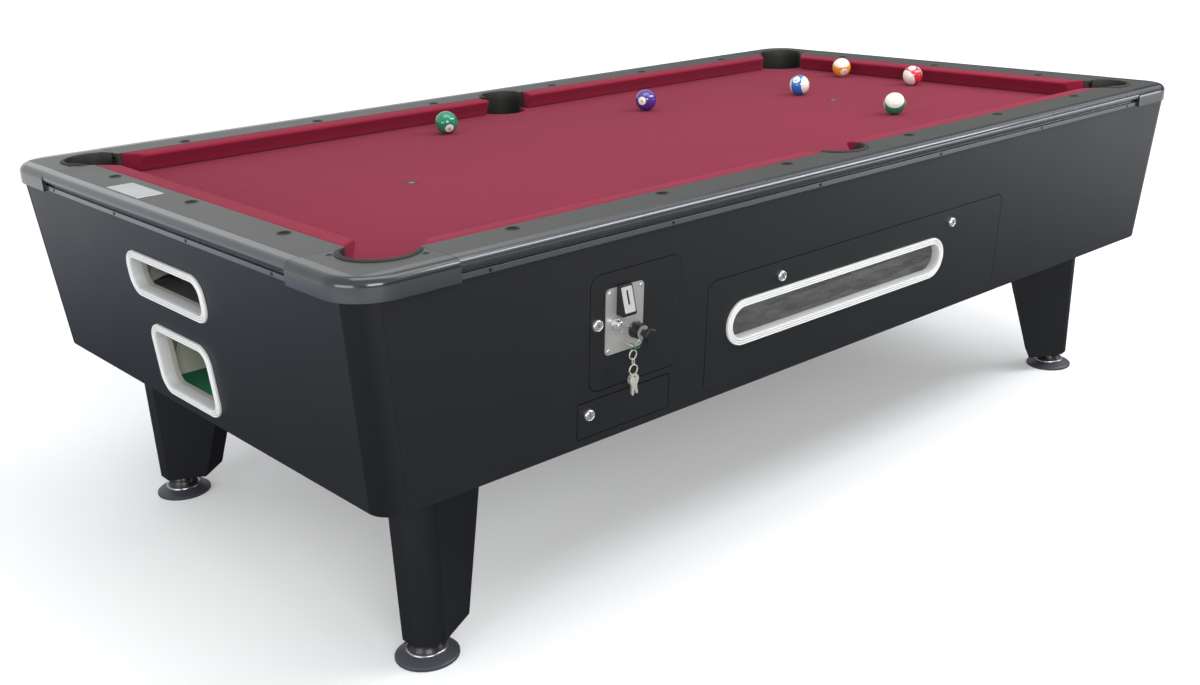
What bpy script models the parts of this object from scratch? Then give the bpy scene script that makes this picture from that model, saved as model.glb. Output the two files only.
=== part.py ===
"""Coin-operated pool table: legs, cabinet, bed, rails, ball return and coin mechanism."""

import math

import bmesh
import bpy
from mathutils import Matrix, Vector

# Clearances
GAP = 0.0003
SEAM = 0.0015

# Playing surface, nose to nose of the cushions
PLAY_LENGTH = 2.24
PLAY_WIDTH = 1.12
RAIL_TOP = 0.806
CUSHION_WIDTH = 0.046
RAIL_WIDTH = 0.082
RAIL_THICK = 0.0437
SLATE_THICK = 0.022
CLOTH_THICK = 0.001

# Edge trim and corner caps
TRIM_DEPTH = 0.030
TRIM_HEIGHT = 0.039
CAP_PROUD = 0.002
CAP_HEIGHT = 0.040
CAP_REACH = 0.20
CAP_WALL = 0.008
CAP_CORNER = 0.085
CAP_ROUND = 0.016

# Pockets
CORNER_POCKET_OFFSET = 0.020
CORNER_POCKET_RADIUS = 0.062
SIDE_POCKET_OFFSET = 0.035
SIDE_POCKET_RADIUS = 0.055
LINER_WALL = 0.0055
LINER_PROUD = 0.0012
LINER_DROP = 0.085
CORNER_MOUTH = 0.085
CORNER_FACING = math.radians(40)
SIDE_MOUTH = 0.0695
SIDE_FACING = math.radians(-9)

# Cabinet
CABINET_HEIGHT = 0.38
CABINET_SET_IN = 0.0132
CABINET_LEAN = 0.0323
PANEL_THICK = 0.028
POST_RADIUS = 0.045
POST_JOIN = 0.002
FLOOR_THICK = 0.018

# Legs and levelling feet
LEG_SET_IN_X = 0.1545
LEG_SET_IN_Y = 0.1595
LEG_BOTTOM = 0.043
LEG_HEADING = math.radians(29)
LEG_EDGE = 0.016
LEG_LOW_X = 0.041
LEG_LOW_Y = 0.047
LEG_LOW_REACH = 0.090
LEG_HIGH_X = 0.047
LEG_HIGH_Y = 0.057
LEG_HIGH_REACH = 0.188
LEG_SKEW = 0.0325
FOOT_RADIUS = 0.061
STEM_RADIUS = 0.008
STEM_DEPTH = 0.06

# Coin door, on the sloping front: heights run up the slope from the cabinet's lower edge
LEAF_THICK = 0.018
DOOR_RIGHT = -0.58
DOOR_WIDTH = 0.22
DOOR_LOW = 0.1024
DOOR_SIZE_Z = 0.2216
DOOR_ROUND = 0.022
DOOR_LOCK_IN = 0.016
DOOR_LOCK_RISE = 0.0005

# Coin plate, placed on the door, and the fittings, placed from the plate's middle
PLATE_IN = 0.1404
PLATE_RISE = 0.0173
PLATE_SIZE_X = 0.091
PLATE_SIZE_Z = 0.127
PLATE_THICK = 0.002
PLATE_BORDER = 0.010
KNOB_RIGHT = 0.0264
KNOB_DROP = 0.028
KNOB_REACH = 0.048
KNOB_HEAD = 0.0115
KNOB_TAIL = 0.050
BUSH_REACH = 0.024
BUSH_RADIUS = 0.0135
SHAFT_RADIUS = 0.006
PLATE_LOCK_LEFT = 0.0231
PLATE_LOCK_DROP = 0.0052
ACCEPTOR_LEFT = 0.0051
ACCEPTOR_RISE = 0.0389
ACCEPTOR_SIZE_X = 0.031
ACCEPTOR_SIZE_Z = 0.055
ACCEPTOR_BODY_Z = 0.026
ACCEPTOR_DEPTH = 0.062
LOOP_LEFT = 0.0076
LOOP_DROP = 0.0405
LOOP_REACH = 0.029
LOCK_RADIUS = 0.0105
BARREL_RADIUS = 0.009

# Cash drawer
DRAWER_RIGHT = -0.60
DRAWER_WIDTH = 0.227
DRAWER_LOW = 0.0155
DRAWER_SIZE_Z = 0.073
DRAWER_LIFT = 0.0022
DRAWER_LOCK_IN = 0.027
DRAWER_LOCK_RISE = 0.0085
TRAY_IN_LEFT = 0.047
TRAY_IN_RIGHT = 0.012
TRAY_DEPTH = 0.215
TRAY_HIGH = 0.056
TRAY_WALL = 0.004

# Window leaf in the front
LEAF_LEFT = -0.503
LEAF_RIGHT = 0.495
LEAF_LOW = 0.014
LEAF_HIGH = 0.247
LEAF_ROUND = 0.02
LEAF_LOCK_X = 0.2925
LEAF_LOCK_HEIGHT = 0.2155
WINDOW_X = -0.0905
WINDOW_HEIGHT = 0.143
WINDOW_SIZE_X = 0.717
WINDOW_SIZE_Z = 0.0975
BEZEL_FLANGE = 0.016
BEZEL_REST = 0.008
BEZEL_PROUD = 0.006
BEZEL_ROUND = 0.04

# Windows in the end
UPPER_HEIGHT = 0.2725
UPPER_SIZE_Y = 0.330
UPPER_SIZE_Z = 0.0955
LOWER_HEIGHT = 0.0975
LOWER_SIZE_Y = 0.254
LOWER_SIZE_Z = 0.152

# Ball box inside the end, ball trough behind the front window
BOX_HALF = 0.195
BOX_WALL = 0.012
BOX_DEPTH = 0.25
BOX_HEADROOM = 0.0193
SHELF_HEIGHT = 0.224
BALL_HOLE = 0.034
TROUGH_LEFT = -0.50
TROUGH_RIGHT = 0.42
TROUGH_FRONT = 0.028
TROUGH_WIDTH = 0.066
TROUGH_FALL = 0.020
TROUGH_SHEET = 0.004
TROUGH_FLOOR = 0.098
TROUGH_TOP = 0.215
GATE_PIN = 0.003

# Everything below follows from the sizes above
NOSE_X = PLAY_LENGTH / 2
NOSE_Y = PLAY_WIDTH / 2
RAIL_IN_X = NOSE_X + CUSHION_WIDTH
RAIL_IN_Y = NOSE_Y + CUSHION_WIDTH
RAIL_OUT_X = RAIL_IN_X + RAIL_WIDTH
RAIL_OUT_Y = RAIL_IN_Y + RAIL_WIDTH
CAP_OUT_X = RAIL_OUT_X + TRIM_DEPTH + CAP_PROUD
CAP_OUT_Y = RAIL_OUT_Y + TRIM_DEPTH + CAP_PROUD
SEAM_X = CAP_OUT_X - CAP_REACH
SEAM_Y = CAP_OUT_Y - CAP_REACH
RAIL_BOTTOM = RAIL_TOP - RAIL_THICK
SLATE_TOP = RAIL_BOTTOM - GAP
SLATE_BOTTOM = SLATE_TOP - SLATE_THICK
SLATE_X = RAIL_OUT_X - 0.0008
SLATE_Y = RAIL_OUT_Y - 0.0008
CLOTH_TOP = SLATE_TOP + GAP + CLOTH_THICK
LINER_OUT = CORNER_POCKET_RADIUS + LINER_WALL
SIDE_OUT = SIDE_POCKET_RADIUS + LINER_WALL
POCKET_X = NOSE_X + CORNER_POCKET_OFFSET
POCKET_Y = NOSE_Y + CORNER_POCKET_OFFSET
SIDE_Y = NOSE_Y + SIDE_POCKET_OFFSET
CABINET_TOP = RAIL_TOP - TRIM_HEIGHT - 0.001
CABINET_BOTTOM = CABINET_TOP - CABINET_HEIGHT
TOP_X = CAP_OUT_X - CABINET_SET_IN
TOP_Y = CAP_OUT_Y - CABINET_SET_IN
LOW_X = TOP_X - CABINET_LEAN
LOW_Y = TOP_Y - CABINET_LEAN
LEAN = math.atan2(CABINET_LEAN, CABINET_HEIGHT)
SLOPE = CABINET_LEAN / CABINET_HEIGHT
SLANT_HEIGHT = CABINET_HEIGHT / math.cos(LEAN) + 0.002
PANEL_RUN = PANEL_THICK / math.cos(LEAN)
FLOOR_LOW = CABINET_BOTTOM + GAP
FLOOR_TOP = FLOOR_LOW + FLOOR_THICK
FLOOR_X = LOW_X - PANEL_RUN - GAP
FLOOR_Y = LOW_Y - PANEL_RUN - GAP
BOX_TOP = SLATE_BOTTOM - BOX_HEADROOM
SHELF_TOP = CABINET_BOTTOM + SHELF_HEIGHT
DOOR_LEFT = DOOR_RIGHT - DOOR_WIDTH
DOOR_HIGH = DOOR_LOW + DOOR_SIZE_Z
DOOR_MIDDLE = DOOR_LOW + DOOR_SIZE_Z / 2
DOOR_LOCK_X = DOOR_LEFT + DOOR_LOCK_IN
PLATE_X = DOOR_RIGHT - PLATE_IN
PLATE_HEIGHT = DOOR_MIDDLE + PLATE_RISE
DOOR_LOCK_HEIGHT = PLATE_HEIGHT + DOOR_LOCK_RISE
KNOB_X = PLATE_X + KNOB_RIGHT
KNOB_HEIGHT = PLATE_HEIGHT - KNOB_DROP
PLATE_LOCK_X = PLATE_X - PLATE_LOCK_LEFT
PLATE_LOCK_HEIGHT = PLATE_HEIGHT - PLATE_LOCK_DROP
ACCEPTOR_X = PLATE_X - ACCEPTOR_LEFT
ACCEPTOR_HEIGHT = PLATE_HEIGHT + ACCEPTOR_RISE
LOOP_X = PLATE_X - LOOP_LEFT
LOOP_HEIGHT = PLATE_HEIGHT - LOOP_DROP
DRAWER_LEFT = DRAWER_RIGHT - DRAWER_WIDTH
DRAWER_HIGH = DRAWER_LOW + DRAWER_SIZE_Z
DRAWER_LOCK_X = DRAWER_LEFT + DRAWER_LOCK_IN
DRAWER_LOCK_HEIGHT = DRAWER_LOW + DRAWER_SIZE_Z / 2 + DRAWER_LOCK_RISE
TRAY_LEFT = DRAWER_LEFT + TRAY_IN_LEFT
TRAY_RIGHT = DRAWER_RIGHT - TRAY_IN_RIGHT
LEG_X = LOW_X - LEG_SET_IN_X
LEG_Y = LOW_Y - LEG_SET_IN_Y

# Frames of the four sloping sides: the outer face is the plane of no depth
FRONT = Matrix.Translation((0, -LOW_Y, CABINET_BOTTOM)) @ Matrix.Rotation(LEAN, 4, "X")
BACK = Matrix.Translation((0, LOW_Y, CABINET_BOTTOM)) @ Matrix.Rotation(-LEAN, 4, "X")
LEFT = Matrix.Translation((-LOW_X, 0, CABINET_BOTTOM)) @ Matrix.Rotation(-LEAN, 4, "Y")
RIGHT = Matrix.Translation((LOW_X, 0, CABINET_BOTTOM)) @ Matrix.Rotation(LEAN, 4, "Y")
WORLD = Matrix.Identity(4)

# A drawing's x and y laid on the x and z, or on the y and z, of a frame
ON_XZ = Matrix(((1, 0, 0, 0), (0, 0, -1, 0), (0, 1, 0, 0), (0, 0, 0, 1)))
ON_YZ = Matrix(((0, 0, 1, 0), (1, 0, 0, 0), (0, 1, 0, 0), (0, 0, 0, 1)))

CORNERS = (
    ("front_left", -1, -1),
    ("front_right", 1, -1),
    ("back_left", -1, 1),
    ("back_right", 1, 1),
)

for old in list(bpy.data.objects):
    bpy.data.objects.remove(old, do_unlink=True)

TABLE = bpy.data.collections.new("coin_pool_table")
bpy.context.scene.collection.children.link(TABLE)
CUTTERS = bpy.data.collections.new("cutters")
CUTTERS.hide_render = True
bpy.context.scene.collection.children.link(CUTTERS)


def material(name, colour, roughness, metallic=0.0):
    """A Principled material of this colour."""
    made = bpy.data.materials.new(name)
    made.use_nodes = True
    shader = made.node_tree.nodes["Principled BSDF"]
    shader.inputs["Base Color"].default_value = (*colour, 1.0)
    shader.inputs["Roughness"].default_value = roughness
    shader.inputs["Metallic"].default_value = metallic
    return made


LAMINATE = material("black_laminate", (0.016, 0.016, 0.018), 0.42)
RAIL_TOPS = material("grey_rail_laminate", (0.085, 0.085, 0.088), 0.38)
TRIM = material("dark_extrusion", (0.035, 0.035, 0.037), 0.3, 0.4)
CAP = material("grey_cap_plastic", (0.10, 0.10, 0.102), 0.4)
CLOTH = material("crimson_cloth", (0.30, 0.025, 0.06), 0.95)
CUSHION = material("crimson_cushion", (0.22, 0.012, 0.03), 0.92)
SLATE = material("slate", (0.11, 0.115, 0.12), 0.7)
RUBBER = material("black_rubber", (0.01, 0.01, 0.01), 0.6)
FRAME_GREY = material("light_grey_plastic", (0.52, 0.54, 0.56), 0.45)
CHROME = material("chrome", (0.62, 0.63, 0.65), 0.15, 1.0)
STEEL = material("brushed_steel", (0.48, 0.48, 0.49), 0.32, 1.0)
BLACK = material("black_plastic", (0.012, 0.012, 0.013), 0.35)
BOARD = material("beige_board", (0.55, 0.45, 0.32), 0.6)
SHEET = material("grey_sheet", (0.30, 0.31, 0.32), 0.5, 0.3)


def new_object(name, mesh, group):
    """An object of this mesh in the group."""
    made = bpy.data.objects.new(name, mesh)
    group.objects.link(made)
    if group is CUTTERS:
        made.hide_render = True
        made.display_type = "WIRE"
    return made


def part(name, mesh, look, origin=(0, 0, 0)):
    """A piece of the table, its origin at this point."""
    mesh.name = name
    mesh.transform(Matrix.Translation(-Vector(origin)))
    mesh.materials.clear()
    mesh.materials.append(look)
    made = new_object(name, mesh, TABLE)
    made.location = origin
    return made


def boolean(piece, mesh, how):
    """Cuts, joins or trims the piece with this mesh."""
    name = piece.name + "_" + how.lower()
    tool = new_object(name, mesh, CUTTERS)
    step = piece.modifiers.new(name, "BOOLEAN")
    step.operation = how
    step.solver = "EXACT"
    step.object = tool
    return piece


def cut(piece, mesh):
    return boolean(piece, mesh, "DIFFERENCE")


def join(piece, mesh):
    return boolean(piece, mesh, "UNION")


def tidied(form, frame):
    """The mesh of this working form, closed, faces out, laid in the frame."""
    mesh = bpy.data.meshes.new("form")
    bmesh.ops.remove_doubles(form, verts=form.verts, dist=1e-6)
    bmesh.ops.recalc_face_normals(form, faces=form.faces)
    form.to_mesh(mesh)
    form.free()
    mesh.transform(frame)
    return mesh


def evaluated_mesh(made, frame):
    """The mesh that a working object comes to; the object goes."""
    bpy.context.view_layer.update()
    graph = bpy.context.evaluated_depsgraph_get()
    mesh = bpy.data.meshes.new_from_object(made.evaluated_get(graph))
    data = made.data
    bpy.data.objects.remove(made)
    if isinstance(data, bpy.types.Curve):
        bpy.data.curves.remove(data)
    else:
        bpy.data.meshes.remove(data)
    form = bmesh.new()
    form.from_mesh(mesh)
    bpy.data.meshes.remove(mesh)
    return tidied(form, frame)


def plate(outlines, low, high, frame=WORLD):
    """A flat drawing with its holes, as thick as low to high."""
    curve = bpy.data.curves.new("drawing", "CURVE")
    curve.dimensions = "2D"
    curve.fill_mode = "BOTH"
    curve.extrude = (high - low) / 2
    for outline in outlines:
        spline = curve.splines.new("POLY")
        spline.points.add(len(outline) - 1)
        for point, spot in zip(spline.points, outline):
            point.co = (spot[0], spot[1], 0, 1)
        spline.use_cyclic_u = True
    made = new_object("drawing", curve, CUTTERS)
    return evaluated_mesh(made, frame @ Matrix.Translation((0, 0, (low + high) / 2)))


def on_front(outlines, low, high, frame=FRONT):
    """A drawing of x and height on a long side, from one depth to another."""
    return plate(outlines, -high, -low, frame @ ON_XZ)


def on_end(outlines, low, high, frame=LEFT):
    """A drawing of y and height on an end, from one depth to another."""
    return plate(outlines, low, high, frame @ ON_YZ)


def block(low, high, frame=WORLD):
    """A box between two corners."""
    low = Vector(low)
    high = Vector(high)
    form = bmesh.new()
    size = Matrix.Diagonal((*(high - low), 1))
    bmesh.ops.create_cube(form, size=1, matrix=Matrix.Translation((low + high) / 2) @ size)
    return tidied(form, frame)


def rod(radius, start, end, sides=20, frame=WORLD):
    """A round bar between two points."""
    start = Vector(start)
    end = Vector(end)
    form = bmesh.new()
    turn = (end - start).to_track_quat("Z", "Y").to_matrix().to_4x4()
    bmesh.ops.create_cone(
        form,
        cap_ends=True,
        segments=sides,
        radius1=radius,
        radius2=radius,
        depth=(end - start).length,
        matrix=Matrix.Translation((start + end) / 2) @ turn,
    )
    return tidied(form, frame)


def turned(profile, frame, steps=24):
    """A profile of radius and height, from top to bottom, turned about the frame's z."""
    mesh = bpy.data.meshes.new("profile")
    points = [(radius, 0, height) for radius, height in profile]
    mesh.from_pydata(points, [(n, n + 1) for n in range(len(points) - 1)], [])
    made = new_object("profile", mesh, CUTTERS)
    screw = made.modifiers.new("turn", "SCREW")
    screw.steps = steps
    screw.render_steps = steps
    screw.use_merge_vertices = True
    screw.merge_threshold = 0.00001
    return evaluated_mesh(made, frame)


def tube(points, radius, frame=WORLD, closed=False, sides=1):
    """A round wire along these points."""
    curve = bpy.data.curves.new("wire", "CURVE")
    curve.dimensions = "3D"
    curve.bevel_depth = radius
    curve.bevel_resolution = sides
    curve.use_fill_caps = True
    spline = curve.splines.new("POLY")
    spline.points.add(len(points) - 1)
    for point, spot in zip(spline.points, points):
        point.co = (*spot, 1)
    spline.use_cyclic_u = closed
    return evaluated_mesh(new_object("wire", curve, CUTTERS), frame)


def arc(centre, radius, start, end, steps):
    """Points along an arc, angles in degrees."""
    spots = []
    for n in range(steps + 1):
        angle = math.radians(start + (end - start) * n / steps)
        spots.append((centre[0] + radius * math.cos(angle), centre[1] + radius * math.sin(angle)))
    return spots


def circle(centre, radius, steps=24):
    return arc(centre, radius, 0, 360 - 360 / steps, steps - 1)


def rounded(left, right, low, high, radius, steps=5):
    """A rectangle with round corners."""
    outline = arc((right - radius, high - radius), radius, 0, 90, steps)
    outline += arc((left + radius, high - radius), radius, 90, 180, steps)
    outline += arc((left + radius, low + radius), radius, 180, 270, steps)
    outline += arc((right - radius, low + radius), radius, 270, 360, steps)
    return outline


def centred(x, height, size_x, size_z, radius, inset=0.0, steps=5):
    """A rounded rectangle about a point, drawn in by an inset."""
    half_x = size_x / 2 - inset
    half_z = size_z / 2 - inset
    small = max(radius - inset, 0.002)
    small = min(small, half_x - 0.0001, half_z - 0.0001)
    return rounded(x - half_x, x + half_x, height - half_z, height + half_z, small, steps)


def rectangle(left, right, low, high):
    return [(left, low), (right, low), (right, high), (left, high)]


def trimmed(mesh, point, normal):
    """The mesh with all that lies beyond a plane taken off."""
    form = bmesh.new()
    form.from_mesh(mesh)
    bpy.data.meshes.remove(mesh)
    everything = form.verts[:] + form.edges[:] + form.faces[:]
    done = bmesh.ops.bisect_plane(
        form, geom=everything, plane_co=point, plane_no=normal, clear_outer=True
    )
    rim = [item for item in done["geom_cut"] if isinstance(item, bmesh.types.BMEdge)]
    bmesh.ops.holes_fill(form, edges=rim)
    return tidied(form, WORLD)


def at(frame, x, depth, height):
    """A world point from a place on a sloping side."""
    return frame @ Vector((x, depth, height))


# Levelling feet and legs
def leg_outline(x, y, reach):
    """Plan of a post about its foot: outer faces, then two sides that run in on a slant."""
    inward = -Vector((math.cos(LEG_HEADING), math.sin(LEG_HEADING)))
    outer = ((x, -LEG_EDGE), (x, 0.51 * y), (0.43 * x, 0.894 * y), (-0.28 * x, y))
    outline = [Vector(point) for point in outer]
    for point, inner in ((outline[-1], reach), (outline[0], reach - LEG_SKEW)):
        outline.append(point + (inner - point.dot(inward)) * inward)
    return outline


def leg_mesh():
    """The post of the back right corner, wider at the top than at the bottom."""
    low = leg_outline(LEG_LOW_X, LEG_LOW_Y, LEG_LOW_REACH)
    high = leg_outline(LEG_HIGH_X, LEG_HIGH_Y, LEG_HIGH_REACH)
    mesh = plate([low], LEG_BOTTOM, CABINET_BOTTOM)
    middle = (LEG_BOTTOM + CABINET_BOTTOM) / 2
    for vertex in mesh.vertices:
        if vertex.co.z > middle:
            near = min(range(len(low)), key=lambda n: (low[n] - vertex.co.xy).length)
            vertex.co.xy = high[near]
    return mesh


for corner, side_x, side_y in CORNERS:
    foot = (side_x * LEG_X, side_y * LEG_Y)
    spot = Matrix.Translation((*foot, 0))
    post = leg_mesh()
    post.transform(spot @ Matrix.Diagonal((side_x, side_y, 1, 1)))
    if side_x * side_y < 0:
        post.flip_normals()
    leg = part("leg_" + corner, post, LAMINATE)
    cut(leg, rod(STEM_RADIUS + GAP, (*foot, 0), (*foot, LEG_BOTTOM + STEM_DEPTH), 16))
    foot_profile = [
        (0, LEG_BOTTOM + STEM_DEPTH - 0.025),
        (STEM_RADIUS, LEG_BOTTOM + STEM_DEPTH - 0.025),
        (STEM_RADIUS, LEG_BOTTOM - GAP),
        (0.021, LEG_BOTTOM - GAP),
        (0.023, LEG_BOTTOM - 0.012),
        (0.031, LEG_BOTTOM - 0.019),
        (0.033, LEG_BOTTOM - 0.024),
        (0.036, LEG_BOTTOM - 0.026),
        (FOOT_RADIUS - 0.004, 0.0095),
        (FOOT_RADIUS, 0.006),
        (FOOT_RADIUS, 0.0015),
        (FOOT_RADIUS - 0.0015, 0),
        (0, 0),
    ]
    part("levelling_foot_" + corner, turned(foot_profile, spot, 28), BLACK, (*foot, LEG_BOTTOM))

# Cabinet sides: each is a trapezium that grows with the slope, rebated for the slate
slate_recess_low = (-RAIL_OUT_X - GAP, -RAIL_OUT_Y - GAP, SLATE_BOTTOM - GAP)
slate_recess_high = (RAIL_OUT_X + GAP, RAIL_OUT_Y + GAP, RAIL_TOP)


def side_outline(low_half, high_half, reach):
    """A side between two posts, with its reach past their edges."""
    low = low_half - POST_RADIUS + reach
    high = low + (high_half - low_half) * SLANT_HEIGHT * math.cos(LEAN) / CABINET_HEIGHT
    return [(-low, 0), (low, 0), (high, SLANT_HEIGHT), (-high, SLANT_HEIGHT)]


door_hole = rounded(
    DOOR_LEFT - SEAM, DOOR_RIGHT + GAP, DOOR_LOW - SEAM, DOOR_HIGH + SEAM, DOOR_ROUND + SEAM
)
drawer_hole = rounded(DRAWER_LEFT - SEAM, DRAWER_RIGHT + SEAM, DRAWER_LOW, DRAWER_HIGH, 0.004, 3)
leaf_hole = rounded(
    LEAF_LEFT - SEAM, LEAF_RIGHT + SEAM, LEAF_LOW - GAP, LEAF_HIGH + SEAM, LEAF_ROUND + SEAM
)
long_outline = side_outline(LOW_X, TOP_X, -GAP)
end_outline = side_outline(LOW_Y, TOP_Y, POST_JOIN)
front = part(
    "front_panel",
    on_front([long_outline, door_hole, drawer_hole, leaf_hole], 0, PANEL_THICK),
    LAMINATE,
)
back = part("back_panel", on_front([long_outline], -PANEL_THICK, 0, BACK), LAMINATE)
upper_hole = centred(0, UPPER_HEIGHT, UPPER_SIZE_Y, UPPER_SIZE_Z, BEZEL_ROUND, BEZEL_REST, 6)
lower_hole = centred(0, LOWER_HEIGHT, LOWER_SIZE_Y, LOWER_SIZE_Z, BEZEL_ROUND, BEZEL_REST, 6)
left = part(
    "left_end_panel",
    on_end([end_outline, upper_hole, lower_hole], 0, PANEL_THICK),
    LAMINATE,
)
right = part("right_end_panel", on_end([end_outline], -PANEL_THICK, 0, RIGHT), LAMINATE)
above_low = (-2 * TOP_X, -2 * TOP_Y, CABINET_TOP)
above_high = (2 * TOP_X, 2 * TOP_Y, 2 * RAIL_TOP)
for panel in (front, back, left, right):
    cut(panel, block(slate_recess_low, slate_recess_high))
    cut(panel, block(above_low, above_high))

# Rounded corner posts, one with the ends; the skirts of the caps rest on them
post_top = RAIL_TOP - CAP_HEIGHT - GAP
for corner, side_x, side_y in CORNERS:
    round_side = arc((-POST_RADIUS, -POST_RADIUS), POST_RADIUS, 0, 90, 8)
    wedge = [(-POST_RADIUS, -POST_RADIUS)] + round_side
    post = plate([wedge], GAP, post_top - CABINET_BOTTOM)
    shear = Matrix(((1, 0, SLOPE, 0), (0, 1, SLOPE, 0), (0, 0, 1, 0), (0, 0, 0, 1)))
    post.transform(shear)
    place = Matrix.Diagonal((side_x, side_y, 1, 1))
    post.transform(Matrix.Translation((side_x * LOW_X, side_y * LOW_Y, CABINET_BOTTOM)) @ place)
    if side_x * side_y < 0:
        post.flip_normals()
    join(left if side_x < 0 else right, post)

# Cabinet floor with the ball box that stands on it
bite = 2 * (POST_RADIUS - PANEL_RUN) + 0.002
floor_outline = [
    (FLOOR_X, -FLOOR_Y + bite),
    (FLOOR_X, FLOOR_Y - bite),
    (FLOOR_X - bite, FLOOR_Y),
    (-FLOOR_X + bite, FLOOR_Y),
    (-FLOOR_X, FLOOR_Y - bite),
    (-FLOOR_X, -FLOOR_Y + bite),
    (-FLOOR_X + bite, -FLOOR_Y),
    (FLOOR_X - bite, -FLOOR_Y),
]
floor = part("cabinet_floor", plate([floor_outline], FLOOR_LOW, FLOOR_TOP), BOARD)
box_back = -FLOOR_X + BOX_DEPTH


def inner_face(height):
    """Where the inside of the end panel is at this height, with the clearance."""
    return -(LOW_X + (height - CABINET_BOTTOM) * SLOPE - PANEL_RUN) + GAP


def box_wall(low, high, depth, back=0.0):
    """A wall of the ball box that follows the slope of the end, held back from it."""
    return [
        (inner_face(low) + back, low),
        (depth, low),
        (depth, high),
        (inner_face(high) + back, high),
    ]


sink = FLOOR_TOP - 0.006
wall_line = box_wall(sink, BOX_TOP, box_back)
upper_exit = (inner_face(BOX_TOP) + 0.105, SHELF_TOP + BALL_HOLE + 0.018)
lower_exit = (box_back - BALL_HOLE - 0.03, FLOOR_TOP + BALL_HOLE + 0.008)
far_wall = on_front([wall_line, circle(upper_exit, BALL_HOLE)], BOX_HALF, BOX_HALF + BOX_WALL, WORLD)
near_wall = on_front([wall_line, circle(lower_exit, BALL_HOLE)], -BOX_HALF - BOX_WALL, -BOX_HALF, WORLD)
join(floor, far_wall)
join(floor, near_wall)
join(
    floor,
    block(
        (box_back - BOX_WALL, -BOX_HALF - BOX_WALL / 2, sink - 0.001),
        (box_back - 0.001, BOX_HALF + BOX_WALL / 2, BOX_TOP - 0.001),
    ),
)
shelf = box_wall(SHELF_TOP - BOX_WALL, SHELF_TOP, box_back - BOX_WALL / 2, 0.001)
join(floor, on_front([shelf], -BOX_HALF - BOX_WALL / 2, BOX_HALF + BOX_WALL / 2, WORLD))

# Slate in five slabs, jointed from pocket to pocket, with the cloth on them
joint_side = SIDE_Y - SIDE_POCKET_RADIUS * 0.69
joint_end = POCKET_Y - CORNER_POCKET_RADIUS * 0.8
joint_fall = (joint_side - joint_end) / SLATE_X
middle_slab = [
    (-SLATE_X, -joint_end),
    (0, -joint_side),
    (SLATE_X, -joint_end),
    (SLATE_X, joint_end),
    (0, joint_side),
    (-SLATE_X, joint_end),
]
slabs = [part("slate_bed", plate([middle_slab], SLATE_BOTTOM, SLATE_TOP), SLATE)]
slab_start = SIDE_POCKET_RADIUS / 2
slab_end = POCKET_X
for corner, side_x, side_y in CORNERS:
    slab = [
        (slab_start, joint_side + GAP - slab_start * joint_fall),
        (slab_end, joint_side + GAP - slab_end * joint_fall),
        (slab_end, SLATE_Y),
        (slab_start, SLATE_Y),
    ]
    slab = [(side_x * x, side_y * y) for x, y in slab]
    slabs.append(part("slate_edge_" + corner, plate([slab], SLATE_BOTTOM, SLATE_TOP), SLATE))
cloth_x = RAIL_IN_X - GAP
cloth_y = RAIL_IN_Y - GAP
cloth = part(
    "bed_cloth",
    plate([rectangle(-cloth_x, cloth_x, -cloth_y, cloth_y)], SLATE_TOP + GAP, CLOTH_TOP),
    CLOTH,
)
for sheet, spare in (*((slab, 0.0) for slab in slabs), (cloth, 0.001)):
    for corner, side_x, side_y in CORNERS:
        reach = LINER_OUT + spare
        inner_x = POCKET_X - reach
        inner_y = POCKET_Y - reach
        notch = rounded(inner_x, inner_x + 0.5, inner_y, inner_y + 0.5, reach, 8)
        notch = [(side_x * x, side_y * y) for x, y in notch]
        if sheet.name in ("slate_bed", "bed_cloth", "slate_edge_" + corner):
            cut(sheet, plate([notch], SLATE_BOTTOM - 0.01, SLATE_TOP + 0.01))
    for side, side_y in (("front", -1), ("back", 1)):
        reach = SIDE_OUT + spare
        notch = rounded(-reach, reach, SIDE_Y - reach, SIDE_Y + 0.4, reach - 0.0005, 8)
        notch = [(x, side_y * y) for x, y in notch]
        if sheet.name in ("slate_bed", "bed_cloth") or side in sheet.name:
            cut(sheet, plate([notch], SLATE_BOTTOM - 0.01, SLATE_TOP + 0.01))

# Rails: boards on the slate, trimmed round the pockets
rail_plans = {
    "front": rectangle(-SEAM_X + GAP, SEAM_X - GAP, -RAIL_OUT_Y, -RAIL_IN_Y),
    "back": rectangle(-SEAM_X + GAP, SEAM_X - GAP, RAIL_IN_Y, RAIL_OUT_Y),
    "left": rectangle(-RAIL_OUT_X, -RAIL_IN_X, -SEAM_Y + GAP, SEAM_Y - GAP),
    "right": rectangle(RAIL_IN_X, RAIL_OUT_X, -SEAM_Y + GAP, SEAM_Y - GAP),
}
touching = {
    "front": ((-1, -1), (1, -1)),
    "back": ((-1, 1), (1, 1)),
    "left": ((-1, -1), (-1, 1)),
    "right": ((1, -1), (1, 1)),
}
for side, plan in rail_plans.items():
    rail = part("rail_" + side, plate([plan], RAIL_BOTTOM, RAIL_TOP), RAIL_TOPS)
    for side_x, side_y in touching[side]:
        bore = circle((side_x * POCKET_X, side_y * POCKET_Y), LINER_OUT + GAP, 40)
        cut(rail, plate([bore], RAIL_BOTTOM - 0.01, RAIL_TOP + 0.01))
    if side in ("front", "back"):
        sign = -1 if side == "front" else 1
        bore = circle((0, sign * SIDE_Y), SIDE_OUT + GAP, 40)
        cut(rail, plate([bore], RAIL_BOTTOM - 0.01, RAIL_TOP + 0.01))

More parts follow.
